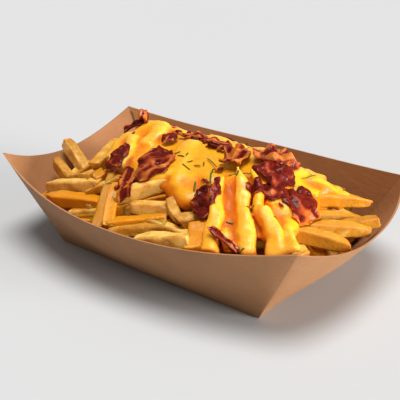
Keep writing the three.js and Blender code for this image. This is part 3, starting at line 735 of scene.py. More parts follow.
def fried_potato(settings):
    """Fried potato: golden skin, browned edges and ends, oil, and sauce where it is painted."""
    material, tree, shader = start_material("fried_potato")
    tone, brown, sauce = painted(tree)[:3]
    where = places(tree)
    patches = grain(tree, where, size=5, detail=4.0, roughness=0.6)
    blisters = grain(tree, where, size=0.8)
    spots = between(tree, grain(tree, where, size=1.5, detail=2.0), 0.62, 0.76, 0.0, 0.4)
    shade = plus(tree, times(tree, tone, 0.6), times(tree, patches, 1.3))
    # The browning and sauce shares also hold the painted shade that fry_body adds deep in the heap.
    browned = times(tree, brown, between(tree, patches, 0.3, 0.7, 0.35, 1.0))
    toasted = plus(tree, browned, spots, held=True)
    coated = between(tree, plus(tree, sauce, times(tree, patches, 0.6)), 0.52, 0.9)
    colour = blend_colours(tree, between(tree, shade, 0.5, 1.15), settings.pale, settings.golden)
    colour = blend_colours(tree, toasted, colour, settings.brown)
    colour = blend_colours(tree, coated, colour, settings.sauced)
    finish(
        tree,
        shader,
        colour,
        roughness=between(tree, coated, 0.0, 1.0, 0.46, 0.28),
        normal=bumps(tree, blisters, 0.2, bumps(tree, patches, 0.5)),
        Specular_IOR_Level=0.3,
        Subsurface_Weight=0.5,
        Subsurface_Radius=(1.0, 0.4, 0.08),
        Subsurface_Scale=3 * MM,
    )
    return material


def melted_cheese(settings):
    """Cheese sauce: bright yellow where it is thick and proud, orange with painted shade in its
    hollows.
    """
    material, tree, shader = start_material("melted_cheese")
    hollow, ridge_highlight, steep = painted(tree)[:3]
    where = places(tree)
    clouds = grain(tree, where, size=9)
    fine = grain(tree, where, size=1.6, detail=4.0)
    # painted shade: hollows, and in part steep sides, are painted more orange
    thin = plus(tree, times(tree, hollow, 0.9), times(tree, steep, 0.75))
    depth = plus(tree, thin, times(tree, plus(tree, clouds, -0.5), 0.5))
    colour = blend_colours(tree, between(tree, depth, 0.0, 0.7), settings.thick, settings.thin)
    # painted shade, darkest in the deepest hollows between the fries
    colour = blend_colours(tree, between(tree, hollow, 0.6, 1.3), colour, settings.hollow_shade)
    # painted highlight on the ridges
    colour = blend_colours(tree, times(tree, ridge_highlight, 0.5), colour, settings.ridges)
    gloss = between(tree, clouds, 0.3, 0.7, 0.28, 0.42)
    finish(
        tree,
        shader,
        colour,
        roughness=plus(tree, gloss, times(tree, hollow, 0.4)),
        normal=bumps(tree, fine, 0.1, bumps(tree, clouds, 0.5)),
        Specular_IOR_Level=0.18,
        Subsurface_Weight=0.45,
        Subsurface_Radius=(1.0, 0.35, 0.03),
        Subsurface_Scale=4 * MM,
        Coat_Weight=0.12,
        Coat_Roughness=0.2,
    )
    return material


def crisp_bacon(settings):
    """Fried bacon: dark lean streaks, amber fat that light shines into, charred edges, gloss."""
    material, tree, shader = start_material("crisp_bacon")
    fat, char, amber = painted(tree)[:3]
    where = places(tree)
    mottling = grain(tree, where, size=1.8, detail=5.0, roughness=0.6)
    patches = grain(tree, where, size=4)
    lean = blend_colours(tree, between(tree, mottling, 0.35, 0.7), settings.lean, settings.lean_light)
    fatty = blend_colours(tree, amber, settings.fat, settings.fat_amber)
    fatty = blend_colours(tree, between(tree, mottling, 0.4, 0.75, 0.0, 0.7), fatty, settings.rose)
    share = plus(tree, plus(tree, fat, times(tree, patches, 0.6)), times(tree, mottling, 0.4))
    burnt = between(tree, plus(tree, char, times(tree, mottling, 0.8)), 0.75, 1.2)
    colour = blend_colours(tree, between(tree, share, 0.6, 1.05), lean, settings.rose)
    colour = blend_colours(tree, between(tree, share, 0.85, 1.35), colour, fatty)
    colour = blend_colours(tree, burnt, colour, settings.char)
    finish(
        tree,
        shader,
        colour,
        roughness=between(tree, mottling, 0.3, 0.7, 0.4, 0.65),
        normal=bumps(tree, mottling, 0.2, bumps(tree, patches, 0.3)),
        Specular_IOR_Level=0.04,
        Subsurface_Weight=0.45,
        Subsurface_Radius=(1.0, 0.3, 0.08),
        Subsurface_Scale=1.5 * MM,
        Coat_Weight=0.16,
        Coat_Roughness=0.08,
    )
    return material


def cut_chive(settings):
    """Fresh chives: dark green with paler cut faces."""
    material, tree, shader = start_material("cut_chive")
    tone = painted(tree)[0]
    streaks = grain(tree, places(tree), size=0.5, detail=2.0)
    shade = plus(tree, tone, times(tree, streaks, 0.3))
    colour = blend_colours(tree, shade, settings.chive, settings.chive_light)
    finish(tree, shader, colour, roughness=0.5, Specular_IOR_Level=0.2)
    return material


def floor_finish(settings):
    """A plain pale floor, very faintly uneven."""
    material, tree, shader = start_material("pale_floor")
    faint = times(tree, grain(tree, places(tree), size=300, detail=1.0), 0.02)
    colour = blend_colours(tree, faint, settings.floor, (1, 1, 1, 1))
    finish(tree, shader, colour, roughness=0.9, Specular_IOR_Level=0.1)
    return material


# Tray

def tip_beyond(place):
    """The sizes of the tips at the left end where the place is below 0, else at the right."""
    return {key: np.where(place < 0, LEFT_TIP[key], RIGHT_TIP[key]) for key in LEFT_TIP}


def rim_point(wall, tip_flare, tip_height, s):
    """How far out and how high a wall's rim is, at s from its middle to a tip at -1 or 1."""
    flare = mix(wall["flare"], tip_flare, np.abs(s) ** wall["flare_curve"])
    height = mix(wall["height"], tip_height, np.abs(s) ** wall["height_curve"])
    return flare, height


def wall_point(wall, tip_flare, tip_height, s, t):
    """How far out and how high a wall is at t of the way up, with its bow."""
    flare, height = rim_point(wall, tip_flare, tip_height, s)
    bow = WALL_BOW * arch(t) * np.sqrt(np.clip(1 - s * s, 0, 1))
    return flare * t + BOW_OUT * bow, height * t - BOW_DOWN * bow


def long_wall(side, s, t, inset=0.0, lift=0.0):
    """A point of a long wall (front -1, back 1), s from the left tip to the right tip."""
    tip = tip_beyond(s)
    y, z = wall_point(LONG_WALL, tip["side"], tip["height"], s, t)
    y = y + BOTTOM_HALF_WIDTH
    x = (BOTTOM_HALF_LENGTH + tip["out"] * t - inset) * s
    return np.stack([x, side * (y - inset), z + lift * (1 - t)], axis=-1)


def end_wall(side, s, t, inset=0.0, lift=0.0):
    """A point of an end wall (left -1, right 1), s from the front tip to the back tip."""
    tip = tip_beyond(side)
    x, z = wall_point(END_WALL, tip["out"], tip["height"], s, t)
    x = x + BOTTOM_HALF_LENGTH
    y = (BOTTOM_HALF_WIDTH + tip["side"] * t - inset) * s
    return np.stack([side * (x - inset), y, z + lift * (1 - t)], axis=-1)


def tray_ring(t, inset, lift, counts=RING_POINTS):
    """All four walls at one t, anticlockwise from the front left tip."""
    def steps(count):
        """Places along a wall, with one more beside each of its folds."""
        even = np.linspace(-1, 1, count)
        return np.sort(np.concatenate([even[:-1], [-1 + FOLD_WIDTH, 1 - FOLD_WIDTH]]))

    long_steps, end_steps = steps(counts[0]), steps(counts[1])
    level = np.full(1, float(t))
    return np.concatenate(
        [
            long_wall(-1, long_steps, level, inset, lift),
            end_wall(1, end_steps, level, inset, lift),
            long_wall(1, -long_steps, level, inset, lift),
            end_wall(-1, -end_steps, level, inset, lift),
        ]
    )


def fold_share():
    """1 at the four corner folds of a ring and 0 away from them."""
    walls = [np.arange(count + 1) == 0 for count in RING_POINTS * 2]
    return np.concatenate(walls).astype(float)


def tray_shell(board):
    """The folded board, outside and inside. Paint is its folds and its food side."""
    outside = np.array([tray_ring(t, 0, 0) for t in WALL_LEVELS])
    inside = np.array([tray_ring(t, LEVEL_SHARE * board, board) for t in WALL_LEVELS[::-1]])
    rings = np.concatenate([outside, inside])
    points, faces = tube(rings)
    sides = rings.shape[1]
    folds = np.tile(fold_share(), len(rings))
    foot = np.repeat(np.isin(np.arange(len(rings)), (0, len(rings) - 1)), sides)
    paint = np.zeros((len(points), 3))
    # the folds and the foot rings get a share for painted shade
    paint[:-2, 0] = np.maximum(folds, foot)
    paint[len(outside) * sides:-2, 1] = 1
    paint[-1, 1] = 1
    return points, faces, paint


def tray_tab(side, board):
    """The glued end of the left wall, folded round the tip onto the long wall's inner face."""
    tips = np.linspace(TAB["tip"], TAB["edge"], TAB_POINTS["level"]) - 1
    levels = np.linspace(TAB["bottom"], TAB["top"], TAB_POINTS["up"])
    s, t = np.meshgrid(tips, levels)
    level_width = LEVEL_SHARE * board
    inner = long_wall(side, s, t, level_width + TAB["thick"], board)
    outer = long_wall(side, s, t, level_width - TAB["sunk"], board)
    points, faces = slab(inner, outer) if side < 0 else slab(outer, inner)
    paint = np.zeros((len(points), 3))
    paint[:, 1] = 1
    return points, faces, paint


def room_width(x, z):
    """Half the room between the long walls, at a place along the tray and a height, and how
    high their rims are there."""
    tip = tip_beyond(x)
    s = np.clip(x / (BOTTOM_HALF_LENGTH + HALFWAY_OUT), -1, 1)
    flare, height = rim_point(LONG_WALL, tip["side"], tip["height"], s)
    return BOTTOM_HALF_WIDTH + flare * z / height, height


def room_length(x, y, z):
    """How far the room reaches to the end wall on the side of x, at a place across the tray
    and a height, and how high its rim is there."""
    tip = tip_beyond(x)
    s = np.clip(y / (BOTTOM_HALF_WIDTH + HALFWAY_SIDE), -1, 1)
    flare, height = rim_point(END_WALL, tip["out"], tip["height"], s)
    return BOTTOM_HALF_LENGTH + flare * z / height, height


def kept_inside(points, board):
    """The points, with those past a wall's inner face moved back onto it."""
    gap = LEVEL_SHARE * board + WALL_CLEARANCE
    x, y, z = points.T.copy()
    half_width, rim = room_width(x, z)
    y = np.where(z < rim + RIM_MARGIN, np.clip(y, gap - half_width, half_width - gap), y)
    half_length, rim = room_length(x, y, z)
    x = np.where(z < rim + RIM_MARGIN, np.clip(x, gap - half_length, half_length - gap), x)
    return np.stack([x, y, np.maximum(z, board + WALL_CLEARANCE)], axis=-1)


# Heap

def heap_top(x, y):
    """The height of the top of the fries over a point of the tray."""
    ends = smoothstep((np.abs(x) - BED_ENDS["start"]) / BED_ENDS["fall"])
    left = 1 - smoothstep((MOUND_LEFT["start"] - x) / MOUND_LEFT["fall"])
    right = 1 - smoothstep((x - MOUND_RIGHT["start"]) / MOUND_RIGHT["fall"])
    reach = np.where(np.asarray(y) < 0, MOUND_REACH["front"], MOUND_REACH["back"])
    across = np.clip(1 - (np.abs(y) / reach) ** MOUND_CURVE, 0, 1)
    return BED_HEIGHT - BED_ENDS["drop"] * ends + MOUND_HEIGHT * left * right * across


def inside_tray(x, y, margin):
    """Whether a point over the bed is inside the walls, with a margin."""
    s = x / (BOTTOM_HALF_LENGTH + END_WALL["flare"])
    width = mix(TRAY_SPAN["middle_width"], TRAY_SPAN["end_width"], s * s)
    return abs(s) < TRAY_SPAN["ends"] and abs(y) < BOTTOM_HALF_WIDTH + width - margin


def row_places(row):
    """Places spread evenly along a row."""
    start, end = np.array(row["start"], float), np.array(row["end"], float)
    return [mix(start, end, k / (row["count"] - 1)).tolist() for k in range(row["count"])]


def loose_fry(x, y, sunk, draw):
    """One fry near a place, turned again until both its ends are inside the tray."""
    thick = mix(*LOOSE["thick"], draw())
    lift = LOOSE["spread"] * (draw() - 0.5)
    while True:
        middle_x = x + LOOSE["shift"] * (draw() - 0.5)
        middle_y = y + LOOSE["shift"] * (draw() - 0.5)
        heading = math.radians(180 * draw())
        half = mix(*LOOSE["length"], draw()) / 2
        ends = []
        for reach in (-half, half):
            end_x = middle_x + reach * math.cos(heading)
            end_y = middle_y + reach * math.sin(heading)
            ends.append((end_x, end_y, float(heap_top(end_x, end_y)) - sunk + lift))
        if all(inside_tray(end_x, end_y, LOOSE["margin"]) for end_x, end_y, _ in ends):
            return fry(ends[0], ends[1], thick=thick)


def loose_fries(seed, sunk=0.0):
    """One layer of loose fries, sunk below the places of the first layer."""
    draw = random_from(seed)
    made = []
    for row in LOOSE_ROWS:
        made += [loose_fry(x, y, row["sunk"] + sunk, draw) for x, y in row_places(row)]
    return made


def fry_section(draw):
    """A fry's outline for a half width of 1: four sides and rounded corners, a little uneven.
    The third row is how far each point is at a corner."""
    turns = (np.arange(4) + 0.5) * math.pi / 2
    reach = math.sqrt(2) * (1 + FRY_UNEVEN * (np.array([draw() for _ in turns]) - FRY_SHRUNK))
    corners = np.stack([np.cos(turns) * reach, np.sin(turns) * reach], axis=1)
    section = []
    for k, corner in enumerate(corners):
        before, after = corners[k - 1], corners[(k + 1) % 4]
        back, ahead = FRY_CORNER * unit(before - corner), FRY_CORNER * unit(after - corner)
        rounding = (corner + back, corner + FRY_CORNER_CUT * (back + ahead), corner + ahead)
        section += [(*place, brown) for place, brown in zip(rounding, FRY_CORNER_BROWN)]
        first, last = corner + ahead, after - FRY_CORNER * unit(after - corner)
        inward = -unit(first + last)
        for share in FRY_SIDE_POINTS:
            place = mix(first, last, share) + FRY_HOLLOW * arch(share) * inward
            section.append((*place, 0.0))
    return np.array(section).T


def fry_stations(length):
    """Where the rings of points along a fry are, as shares of its length, and how wide."""
    near_end = np.array(FRY_EDGE_STEPS) * FRY_EDGE / length
    body = np.linspace(0, 1, FRY_STATIONS + 2)[1:-1]
    body = mix(near_end[-1], 1 - near_end[-1], body)
    shares = np.concatenate([[0], near_end, body, 1 - near_end[::-1], [1]])
    sizes = np.concatenate([FRY_EDGE_SIZES, np.ones(FRY_STATIONS), FRY_EDGE_SIZES[::-1]])
    return shares, sizes


def uneven(rings, sizes, corner, shift):
    """The rings of a fry with dents and pores in its sides and chips in its corners."""
    outward = rings - rings.mean(axis=1, keepdims=True)
    outward = outward / np.linalg.norm(outward, axis=2, keepdims=True)
    flat = rings.reshape(-1, 3)
    dents = relief(flat, FRY_DENTS, 9 * shift) + relief(flat, FRY_PORES, 5 * shift)
    chips = np.clip(relief(flat, FRY_CHIPS, 7 * shift), 0, None) * np.tile(corner, len(rings))
    moved = (dents - chips).reshape(rings.shape[:2] + (1,)) * sizes.reshape(-1, 1, 1)
    return rings + outward * moved


def fry_body(piece, draw):
    """The points, faces and paint of one fry. Paint is its tone, its browning and its sauce."""
    start, end = np.array(piece["start"], float), np.array(piece["end"], float)
    length = np.linalg.norm(end - start)
    along = (end - start) / length
    side = unit(np.cross((0, 0, 1), along))
    rise = np.cross(along, side)
    tone = draw()
    if piece["tone"] is not None:
        tone = piece["tone"]
    sway = (draw() - 0.5) * FRY_SWAY * length
    twist = (draw() - 0.5) * FRY_TWIST
    cuts = [(draw() - 0.5) * FRY_CUT for _ in range(4)]
    narrowed = [tip + FRY_TIP_CHANCE * draw() ** 2 for tip in piece["tips"]]
    offset_side, offset_up, corner = fry_section(draw)
    face_tones = np.repeat([FRY_FACE_TONE * (draw() - 0.5) for _ in range(4)], len(corner) // 4)
    sides_paint = [np.clip(tone + face_tones, 0, 1), np.full(len(corner), piece["sauce"])]

    rings, paint = [], []
    shares, sizes = fry_stations(length)
    for share, size in zip(shares, sizes):
        from_start, from_end = share * length, (1 - share) * length
        from_cut = min(from_start, from_end)
        scale = 1 - piece["taper"] * share
        scale *= 1 - narrowed[0] * max(0, 1 - from_start / FRY_TIP) ** 2
        scale *= 1 - narrowed[1] * max(0, 1 - from_end / FRY_TIP) ** 2
        scale *= size / 2 * (1 + FRY_WAIST * math.sin(5 * share + 6 * tone))
        level, high = offset_side * piece["wide"] * scale, offset_up * piece["thick"] * scale
        near = cuts[:2] if share < 0.5 else cuts[2:]
        slant = 2 * piece["slant"] / piece["wide"] * np.sign(share - 0.5)
        cut = ((near[0] + slant) * level + near[1] * high) * max(0, 1 - from_cut / FRY_TIP)
        turn = piece["turn"] + twist * (share - 0.5)
        across, up = turned(side, along, turn), turned(rise, along, turn)
        centre = start + (end - start) * share + side * sway * arch(share)
        centre[2] += piece["bend"] * arch(share)
        rings.append(centre + np.outer(level, across) + np.outer(high, up) + np.outer(cut, along))
        at_end = math.exp(-from_cut / FRY_END_BROWN["reach"]) * min(1, size * 1.05) ** 8
        brown = FRY_EDGE_BROWN * corner + FRY_END_BROWN["most"] * at_end
        paint.append(np.stack([sides_paint[0], brown, sides_paint[1]], axis=1))
    points, faces = tube(uneven(np.array(rings), sizes, corner, tone))
    cut_face = (FRY_CUT_FACE["tone"] * tone, 0.0, FRY_CUT_FACE["sauce"] * piece["sauce"])
    paint = np.concatenate([*paint, [cut_face, cut_face]])
    # Painted shade: the deeper a point lies under the heap's top, the browner and more sauced it is
    # painted.
    depth = heap_top(points[:, 0], points[:, 1]) - points[:, 2]
    deep = smoothstep((depth - HEAP_SHADE["from"]) / (HEAP_SHADE["to"] - HEAP_SHADE["from"]))
    paint[:, 1:] += np.outer(deep, (HEAP_SHADE["brown"], HEAP_SHADE["sauce"]))
    return points, faces, np.clip(paint, 0, 1)


def heap_core(board):
    """The bed that the fries lie on: a low copy of the heap inside the walls."""
    inset = LEVEL_SHARE * board + CORE["inset"]
    shoulder = tray_ring(CORE["shoulder"], inset, board, CORE_POINTS)
    rings = [tray_ring(CORE["foot"], inset, board, CORE_POINTS)]
    for width in CORE_RINGS:
        ring = shoulder * (width / CORE_RINGS[0])
        ring[:, 2] = heap_top(ring[:, 0], ring[:, 1]) - CORE["depth"]
        rings.append(ring)
    points, faces = tube(np.array(rings))
    points[-1] = (0, 0, float(heap_top(0.0, 0.0)) - CORE["depth"])
    paint = np.tile(CORE_PAINT, (len(points), 1))
    return kept_inside(points, board), faces, paint


def all_fries():
    """Every fry of the heap: those that show and the loose layers."""
    loose = loose_fries(LOOSE["seed"])
    for layer in DEEPER_LAYERS:
        deeper = loose_fries(layer["seed"], layer["sunk"])
        loose += [{**piece, "sauce": DEEPER_SAUCE} for piece in deeper]
    return SHOWN_FRIES + loose


# Cheese

def smooth_union(first, second, width):
    """Two fields of distances joined with a fillet."""
    share = np.clip(0.5 + 0.5 * (second - first) / width, 0, 1)
    return mix(second, first, share) - width * share * (1 - share)


def smooth_cut(first, second, width):
    """What two fields of distances have in common, with a rounded edge."""
    return -smooth_union(-first, -second, width)


def closed_curve(corners, steps):
    """Points of a smooth closed curve through the corners."""
    points = np.array(corners, float)
    before, after, beyond = (np.roll(points, shift, axis=0) for shift in (1, -1, -2))
    made = []
    for t in np.linspace(0, 1, steps, endpoint=False):
        made.append(
            0.5 * (
                2 * points
                + (after - before) * t
                + (2 * before - 5 * points + 4 * after - beyond) * t ** 2
                + (3 * points - before - 3 * after + beyond) * t ** 3
            )
        )
    return np.stack(made, axis=1).reshape(-1, 2)


def outline_distance(x, y, outline):
    """The level distance from each point to a closed outline, less than 0 inside it."""
    nearest = np.full(x.shape, 1e9)
    inside = np.zeros(x.shape, bool)
    for (ax, ay), (bx, by) in zip(outline, np.roll(outline, -1, axis=0)):
        length = (bx - ax) ** 2 + (by - ay) ** 2
        share = np.clip(((x - ax) * (bx - ax) + (y - ay) * (by - ay)) / length, 0, 1)
        off_x, off_y = x - ax - share * (bx - ax), y - ay - share * (by - ay)
        nearest = np.minimum(nearest, off_x ** 2 + off_y ** 2)
        crosses = (ay > y) != (by > y)
        if ay != by:
            inside ^= crosses & (x < (bx - ax) * (y - ay) / (by - ay) + ax)
    return np.where(inside, -1, 1) * np.sqrt(nearest)


def bar_distance(x, y, z, piece, coat, rounding):
    """The distance from each point to the surface of a fry with a coat of cheese."""
    start, end = np.array(piece["start"], float), np.array(piece["end"], float)
    length = np.linalg.norm(end - start)
    along = (end - start) / length
    side = turned(unit(np.cross((0, 0, 1), along)), along, piece["turn"])
    rise = np.cross(along, side)
    dx, dy, dz = x - start[0], y - start[1], z - start[2]
    reach = dx * along[0] + dy * along[1] + dz * along[2]
    share = np.clip(reach / length, 0, 1)
    dz = dz - piece["bend"] * arch(share)
    off_side = np.abs(dx * side[0] + dy * side[1] + dz * side[2])
    off_rise = np.abs(dx * rise[0] + dy * rise[1] + dz * rise[2])
    scale = (1 - piece["taper"] * share) / 2
    scale = scale * (1 - piece["tips"][0] * np.clip(1 - reach / COATED_TIP, 0, 1) ** 2)
    scale = scale * (1 - piece["tips"][1] * np.clip(1 - (length - reach) / COATED_TIP, 0, 1) ** 2)
    radius = rounding * min(piece["thick"], piece["wide"])
    a = np.abs(reach - length / 2) - (length / 2 + coat - radius)
    b = off_side - (piece["wide"] * scale + coat - radius)
    c = off_rise - (piece["thick"] * scale + coat - radius)
    outside = np.sqrt(np.maximum(a, 0) ** 2 + np.maximum(b, 0) ** 2 + np.maximum(c, 0) ** 2)
    return outside + np.minimum(np.maximum(a, np.maximum(b, c)), 0) - radius


def field_box(piece, low, cell, shape, pad):
    """The part of the field's grid round a fry."""
    ends = np.array([piece["start"], piece["end"]], float)
    reach = pad + 0.5 * max(piece["thick"], piece["wide"]) * (1 + abs(piece["taper"]))
    first = np.floor((ends.min(0) - reach - low) / cell).astype(int)
    last = np.ceil((ends.max(0) + reach + [0, 0, piece["bend"]] - low) / cell).astype(int)
    return tuple(slice(max(0, a), max(0, min(n, b))) for a, b, n in zip(first, last, shape))


def swayed(x, y, z):
    """The places moved by slow waves, which take the coated fries out of straight."""
    moved = []
    for place, waves in zip((x, y, z), COATED_WAVES):
        for far, (by_x, by_y, by_z), shift in waves:
            place = place + far * np.sin(by_x * x + by_y * y + by_z * z + shift)
        moved.append(place)
    return moved


def sheet_edge(x, y):
    """The level distance from each point to the sheet's edge, less than 0 inside it."""
    return outline_distance(x, y, closed_curve(SHEET_OUTLINE, OUTLINE_STEPS))


def edge_waves(x, y):
    """How far the sheet's edge is moved out by large and small waves."""
    large = SHEET_WAVES["large"] * np.sin(x * 0.45 + 2 * np.sin(y * 0.3))
    return large + SHEET_WAVES["small"] * np.sin(y * 0.8 + x * 0.37)


def cheese_field():
    """Distances to the surface of the cheese over a grid, and the grid's low corner and cell."""
    low, high = np.array(CHEESE_FIELD["low"], float), np.array(CHEESE_FIELD["high"], float)
    cell = CHEESE_FIELD["cell"]
    axes = [np.arange(a, b, cell) for a, b in zip(low, high)]
    x, y, z = np.meshgrid(*axes, indexing="ij")
    flat_x, flat_y = np.meshgrid(axes[0], axes[1], indexing="ij")
    top = heap_top(flat_x, flat_y)
    steep = np.sqrt(1 + np.gradient(top, cell, axis=0) ** 2 + np.gradient(top, cell, axis=1) ** 2)
    edge = sheet_edge(flat_x, flat_y) + edge_waves(flat_x, flat_y)
    droop = SHEET_DROOP["fall"] * np.clip(1 + edge / SHEET_DROOP["reach"], 0, 1) ** 2
    sheet = (z - (top + SHEET_RISE - droop)[:, :, None]) / steep[:, :, None]
    for piece in all_fries() + COVERED_FRIES:
        box = field_box(piece, low, cell, z.shape, CHEESE_MELT + CHEESE_COAT)
        if sheet[box].size:
            covered = bar_distance(x[box], y[box], z[box], piece, CHEESE_COAT, COVERED_ROUNDING)
            sheet[box] = smooth_union(sheet[box], covered, CHEESE_MELT)
    field = smooth_cut(sheet, edge[:, :, None] + np.zeros_like(z), SHEET_EDGE)
    for pieces, melt in ((WEBS, CHEESE_MELT), (COATED_FRIES, COATED_MELT)):
        for piece in pieces:
            box = field_box(piece, low, cell, z.shape, melt + COATED_SWAY)
            coated = bar_distance(*swayed(x[box], y[box], z[box]), piece, 0.0, COATED_ROUNDING)
            field[box] = smooth_union(field[box], coated, melt)
    for lump in LUMPS:
        (cx, cy, cz), (rx, ry, rz) = lump["at"], lump["size"]
        away = np.sqrt(((x - cx) / rx) ** 2 + ((y - cy) / ry) ** 2 + ((z - cz) / rz) ** 2)
        field = smooth_union(field, (away - 1) * min(rx, ry, rz), CHEESE_MELT)
    underside = (top - CHEESE_DEPTH)[:, :, None] - z
    field = np.maximum(field, underside)
    for axis in range(3):
        edges = np.moveaxis(field, axis, 0)
        edges[0], edges[-1] = cell, cell
    return field, low, cell


def surface_of(field, low, cell):
    """The surface where a field of distances is 0, as points and four-sided faces."""
    inside = field < 0
    corners = [(i, j, k) for i in (0, 1) for j in (0, 1) for k in (0, 1)]
    counts = [size - 1 for size in field.shape]

    def at(values, corner):
        """The values at one corner of every cell."""
        return values[tuple(slice(step, step + count) for step, count in zip(corner, counts))]

    full = sum(at(inside, corner).astype(np.int8) for corner in corners)
    mixed = (full > 0) & (full < len(corners))
    number = np.full(mixed.shape, -1)
    number[mixed] = np.arange(mixed.sum())
    total, crossings = np.zeros((mixed.sum(), 3)), np.zeros(mixed.sum())
    for first in corners:
        for axis in range(3):
            if first[axis]:
                continue
            second = tuple(1 if k == axis else first[k] for k in range(3))
            start, end = at(field, first)[mixed], at(field, second)[mixed]
            crosses = (start < 0) != (end < 0)
            share = np.where(crosses, start / np.where(crosses, start - end, 1), 0)
            place = np.tile(np.array(first, float), (len(share), 1))
            place[:, axis] += share
            total += place * crosses[:, None]
            crossings += crosses
    points = low + cell * (np.argwhere(mixed) + total / crossings[:, None])
    faces = []
    for axis in range(3):
        u, v = (axis + 1) % 3, (axis + 2) % 3
        here = np.moveaxis(inside, (axis, u, v), (0, 1, 2))
        cells = np.moveaxis(number, (axis, u, v), (0, 1, 2))
        changes = np.argwhere(here[:-1, 1:-1, 1:-1] != here[1:, 1:-1, 1:-1])
        a, b, c = changes[:, 0], changes[:, 1] + 1, changes[:, 2] + 1
        round_it = ((b - 1, c - 1), (b, c - 1), (b, c), (b - 1, c))
        loop = np.stack([cells[a, near_b, near_c] for near_b, near_c in round_it], axis=1)
        leaving = here[a, b, c]
        faces.append(np.where(leaving[:, None], loop, loop[:, ::-1]))
    return points, np.concatenate(faces)


def neighbour_mean(points, faces, rounds):
    """The points moved to the middle of their neighbours, several times over."""
    pairs = np.concatenate([faces[:, [k, (k + 1) % 4]] for k in range(4)])
    degree = np.bincount(pairs.ravel(), minlength=len(points))
    moved = points.copy()
    for _ in range(rounds):
        total = np.zeros_like(moved)
        for axis in range(3):
            total[:, axis] += np.bincount(pairs[:, 0], moved[pairs[:, 1], axis], len(points))
            total[:, axis] += np.bincount(pairs[:, 1], moved[pairs[:, 0], axis], len(points))
        moved = total / degree[:, None]
    return moved


def point_normals(points, faces):
    """Which way the surface faces at each point."""
    a, b, c, d = (points[faces[:, k]] for k in range(4))
    cross = np.cross(c - a, d - b)
    normals = np.zeros_like(points)
    for k in range(4):
        for axis in range(3):
            normals[:, axis] += np.bincount(faces[:, k], cross[:, axis], len(points))
    return normals / np.maximum(np.linalg.norm(normals, axis=1, keepdims=True), 1e-9)


def cheese_body(board):
    """The cheese's points, faces and paint. Paint is its hollows, its ridges and its sides."""
    points, faces = surface_of(*cheese_field())
    points = neighbour_mean(points, faces, rounds=1)
    normals = point_normals(points, faces)
    waves = relief(points, CHEESE_RIPPLES) + relief(points, CHEESE_DIMPLES, 4.0)
    points = kept_inside(points + normals * waves[:, None], board)
    # Painted shade: hollows, where the surface lies below its smoothed copy, are painted more orange.
    smoothed, hollow = points, 0
    for hollows in (SMALL_HOLLOWS, LARGE_HOLLOWS):
        smoothed = neighbour_mean(smoothed, faces, hollows["rounds"])
        hollow = hollow + np.sum((smoothed - points) * normals, axis=1) / hollows["deep"]
    # Painted shade: coated fries with a deep share are painted more orange.
    deep, coated = np.zeros(len(points)), np.zeros(len(points))
    for piece in COATED_FRIES:
        off = bar_distance(*points.T, piece, 0.0, COVERED_ROUNDING)
        near_it = 1 - smoothstep(off / COATED_PAINT)
        deep = np.maximum(deep, piece["deep"] * near_it)
        coated = np.maximum(coated, near_it)
    inward = -sheet_edge(points[:, 0], points[:, 1])
    thin = (1 - smoothstep(inward / CHEESE_THIN["reach"])) * (1 - coated)
    paint = np.zeros((len(points), 3))
    paint[:, 0] = np.clip(hollow + deep + CHEESE_THIN["share"] * thin, 0, 1)
    # painted highlight on the ridges, weaker near deep coated fries and the thin edge
    paint[:, 1] = np.clip(-hollow, 0, 1) * (1 - np.maximum(deep, thin))
    # steep sides: painted more orange, partly for thinner sauce and partly as painted shade
    paint[:, 2] = 1 - smoothstep((normals[:, 2] - CHEESE_STEEP["from"]) / CHEESE_STEEP["fall"])
    return points, faces.tolist(), paint


# Bacon

def bacon_axes(piece):
    """The directions along and across a bacon piece and off its face."""
    x, y = piece["at"]
    step = 2
    slope_x = float(heap_top(x + step, y) - heap_top(x - step, y)) / (2 * step)
    slope_y = float(heap_top(x, y + step) - heap_top(x, y - step)) / (2 * step)
    normal = unit(np.array([-slope_x, -slope_y, 1.0]))
    heading = math.radians(piece["heading"])
    along = np.array([math.cos(heading), math.sin(heading), 0.0])
    along = unit(along - normal * np.dot(along, normal))
    across = np.cross(normal, along)
    along, normal = turned(along, across, -piece["tip"]), turned(normal, across, -piece["tip"])
    return along, turned(across, along, piece["roll"]), turned(normal, along, piece["roll"])


def creases(flat, size, shift):
    """Noise from 0 to about 1 with narrow ridges, as in a crumpled sheet."""
    return 1 - 2 * np.sqrt(noise_at(flat, size, shift) ** 2 + CREASE_SOFTNESS)


def bacon_waves(piece, a, b, phase):
    """The folds, the wrinkles and the pimples of a bacon piece, and how ragged its edge is, at
    places a along it and b across it, both from -1 to 1."""
    level_a, level_b = a * piece["length"] / 2, b * piece["width"] / 2
    flat = np.stack([level_a.ravel(), level_b.ravel(), np.full(a.size, 9 * phase)], axis=1)

    def waves(size, shift):
        """Noise over the piece, of its own for each shift."""
        return noise_at(flat, size, phase + shift).reshape(a.shape)

    folds = creases(flat, BACON_FOLDS["size"], phase).reshape(a.shape) - BACON_FOLDS["level"]
    wrinkles, pimples = waves(BACON_WRINKLES["size"], 3), waves(BACON_PIMPLES["size"], 6)
    fine = waves(BACON_RAGGED["fine_size"], 4)
    ragged = waves(BACON_RAGGED["size"], 9) + BACON_RAGGED["fine"] * fine
    return folds, wrinkles, pimples, ragged


def bacon_height(piece, a, b, phase, folds, wrinkles, pimples):
    """How far each place of a bacon piece is off its flat middle."""
    turns = 2 * math.pi * (a * piece["length"] / 2) / BACON_RUFFLES["apart"]
    turns = turns + BACON_RUFFLES["folded"] * (folds + BACON_FOLDS["level"])
    ruffles = np.sin(turns + phase + BACON_RUFFLES["slant"] * b)
    ruffles = ruffles * (BACON_RUFFLES["even"] + (1 - BACON_RUFFLES["even"]) * b)
    height = piece["ruffle"] * ruffles - piece["curl"] * (a * a + BACON_CURL_ACROSS * b * b)
    height = height + BACON_FOLDS["deep"] * folds
    return height + BACON_WRINKLES["deep"] * wrinkles + BACON_PIMPLES["deep"] * pimples


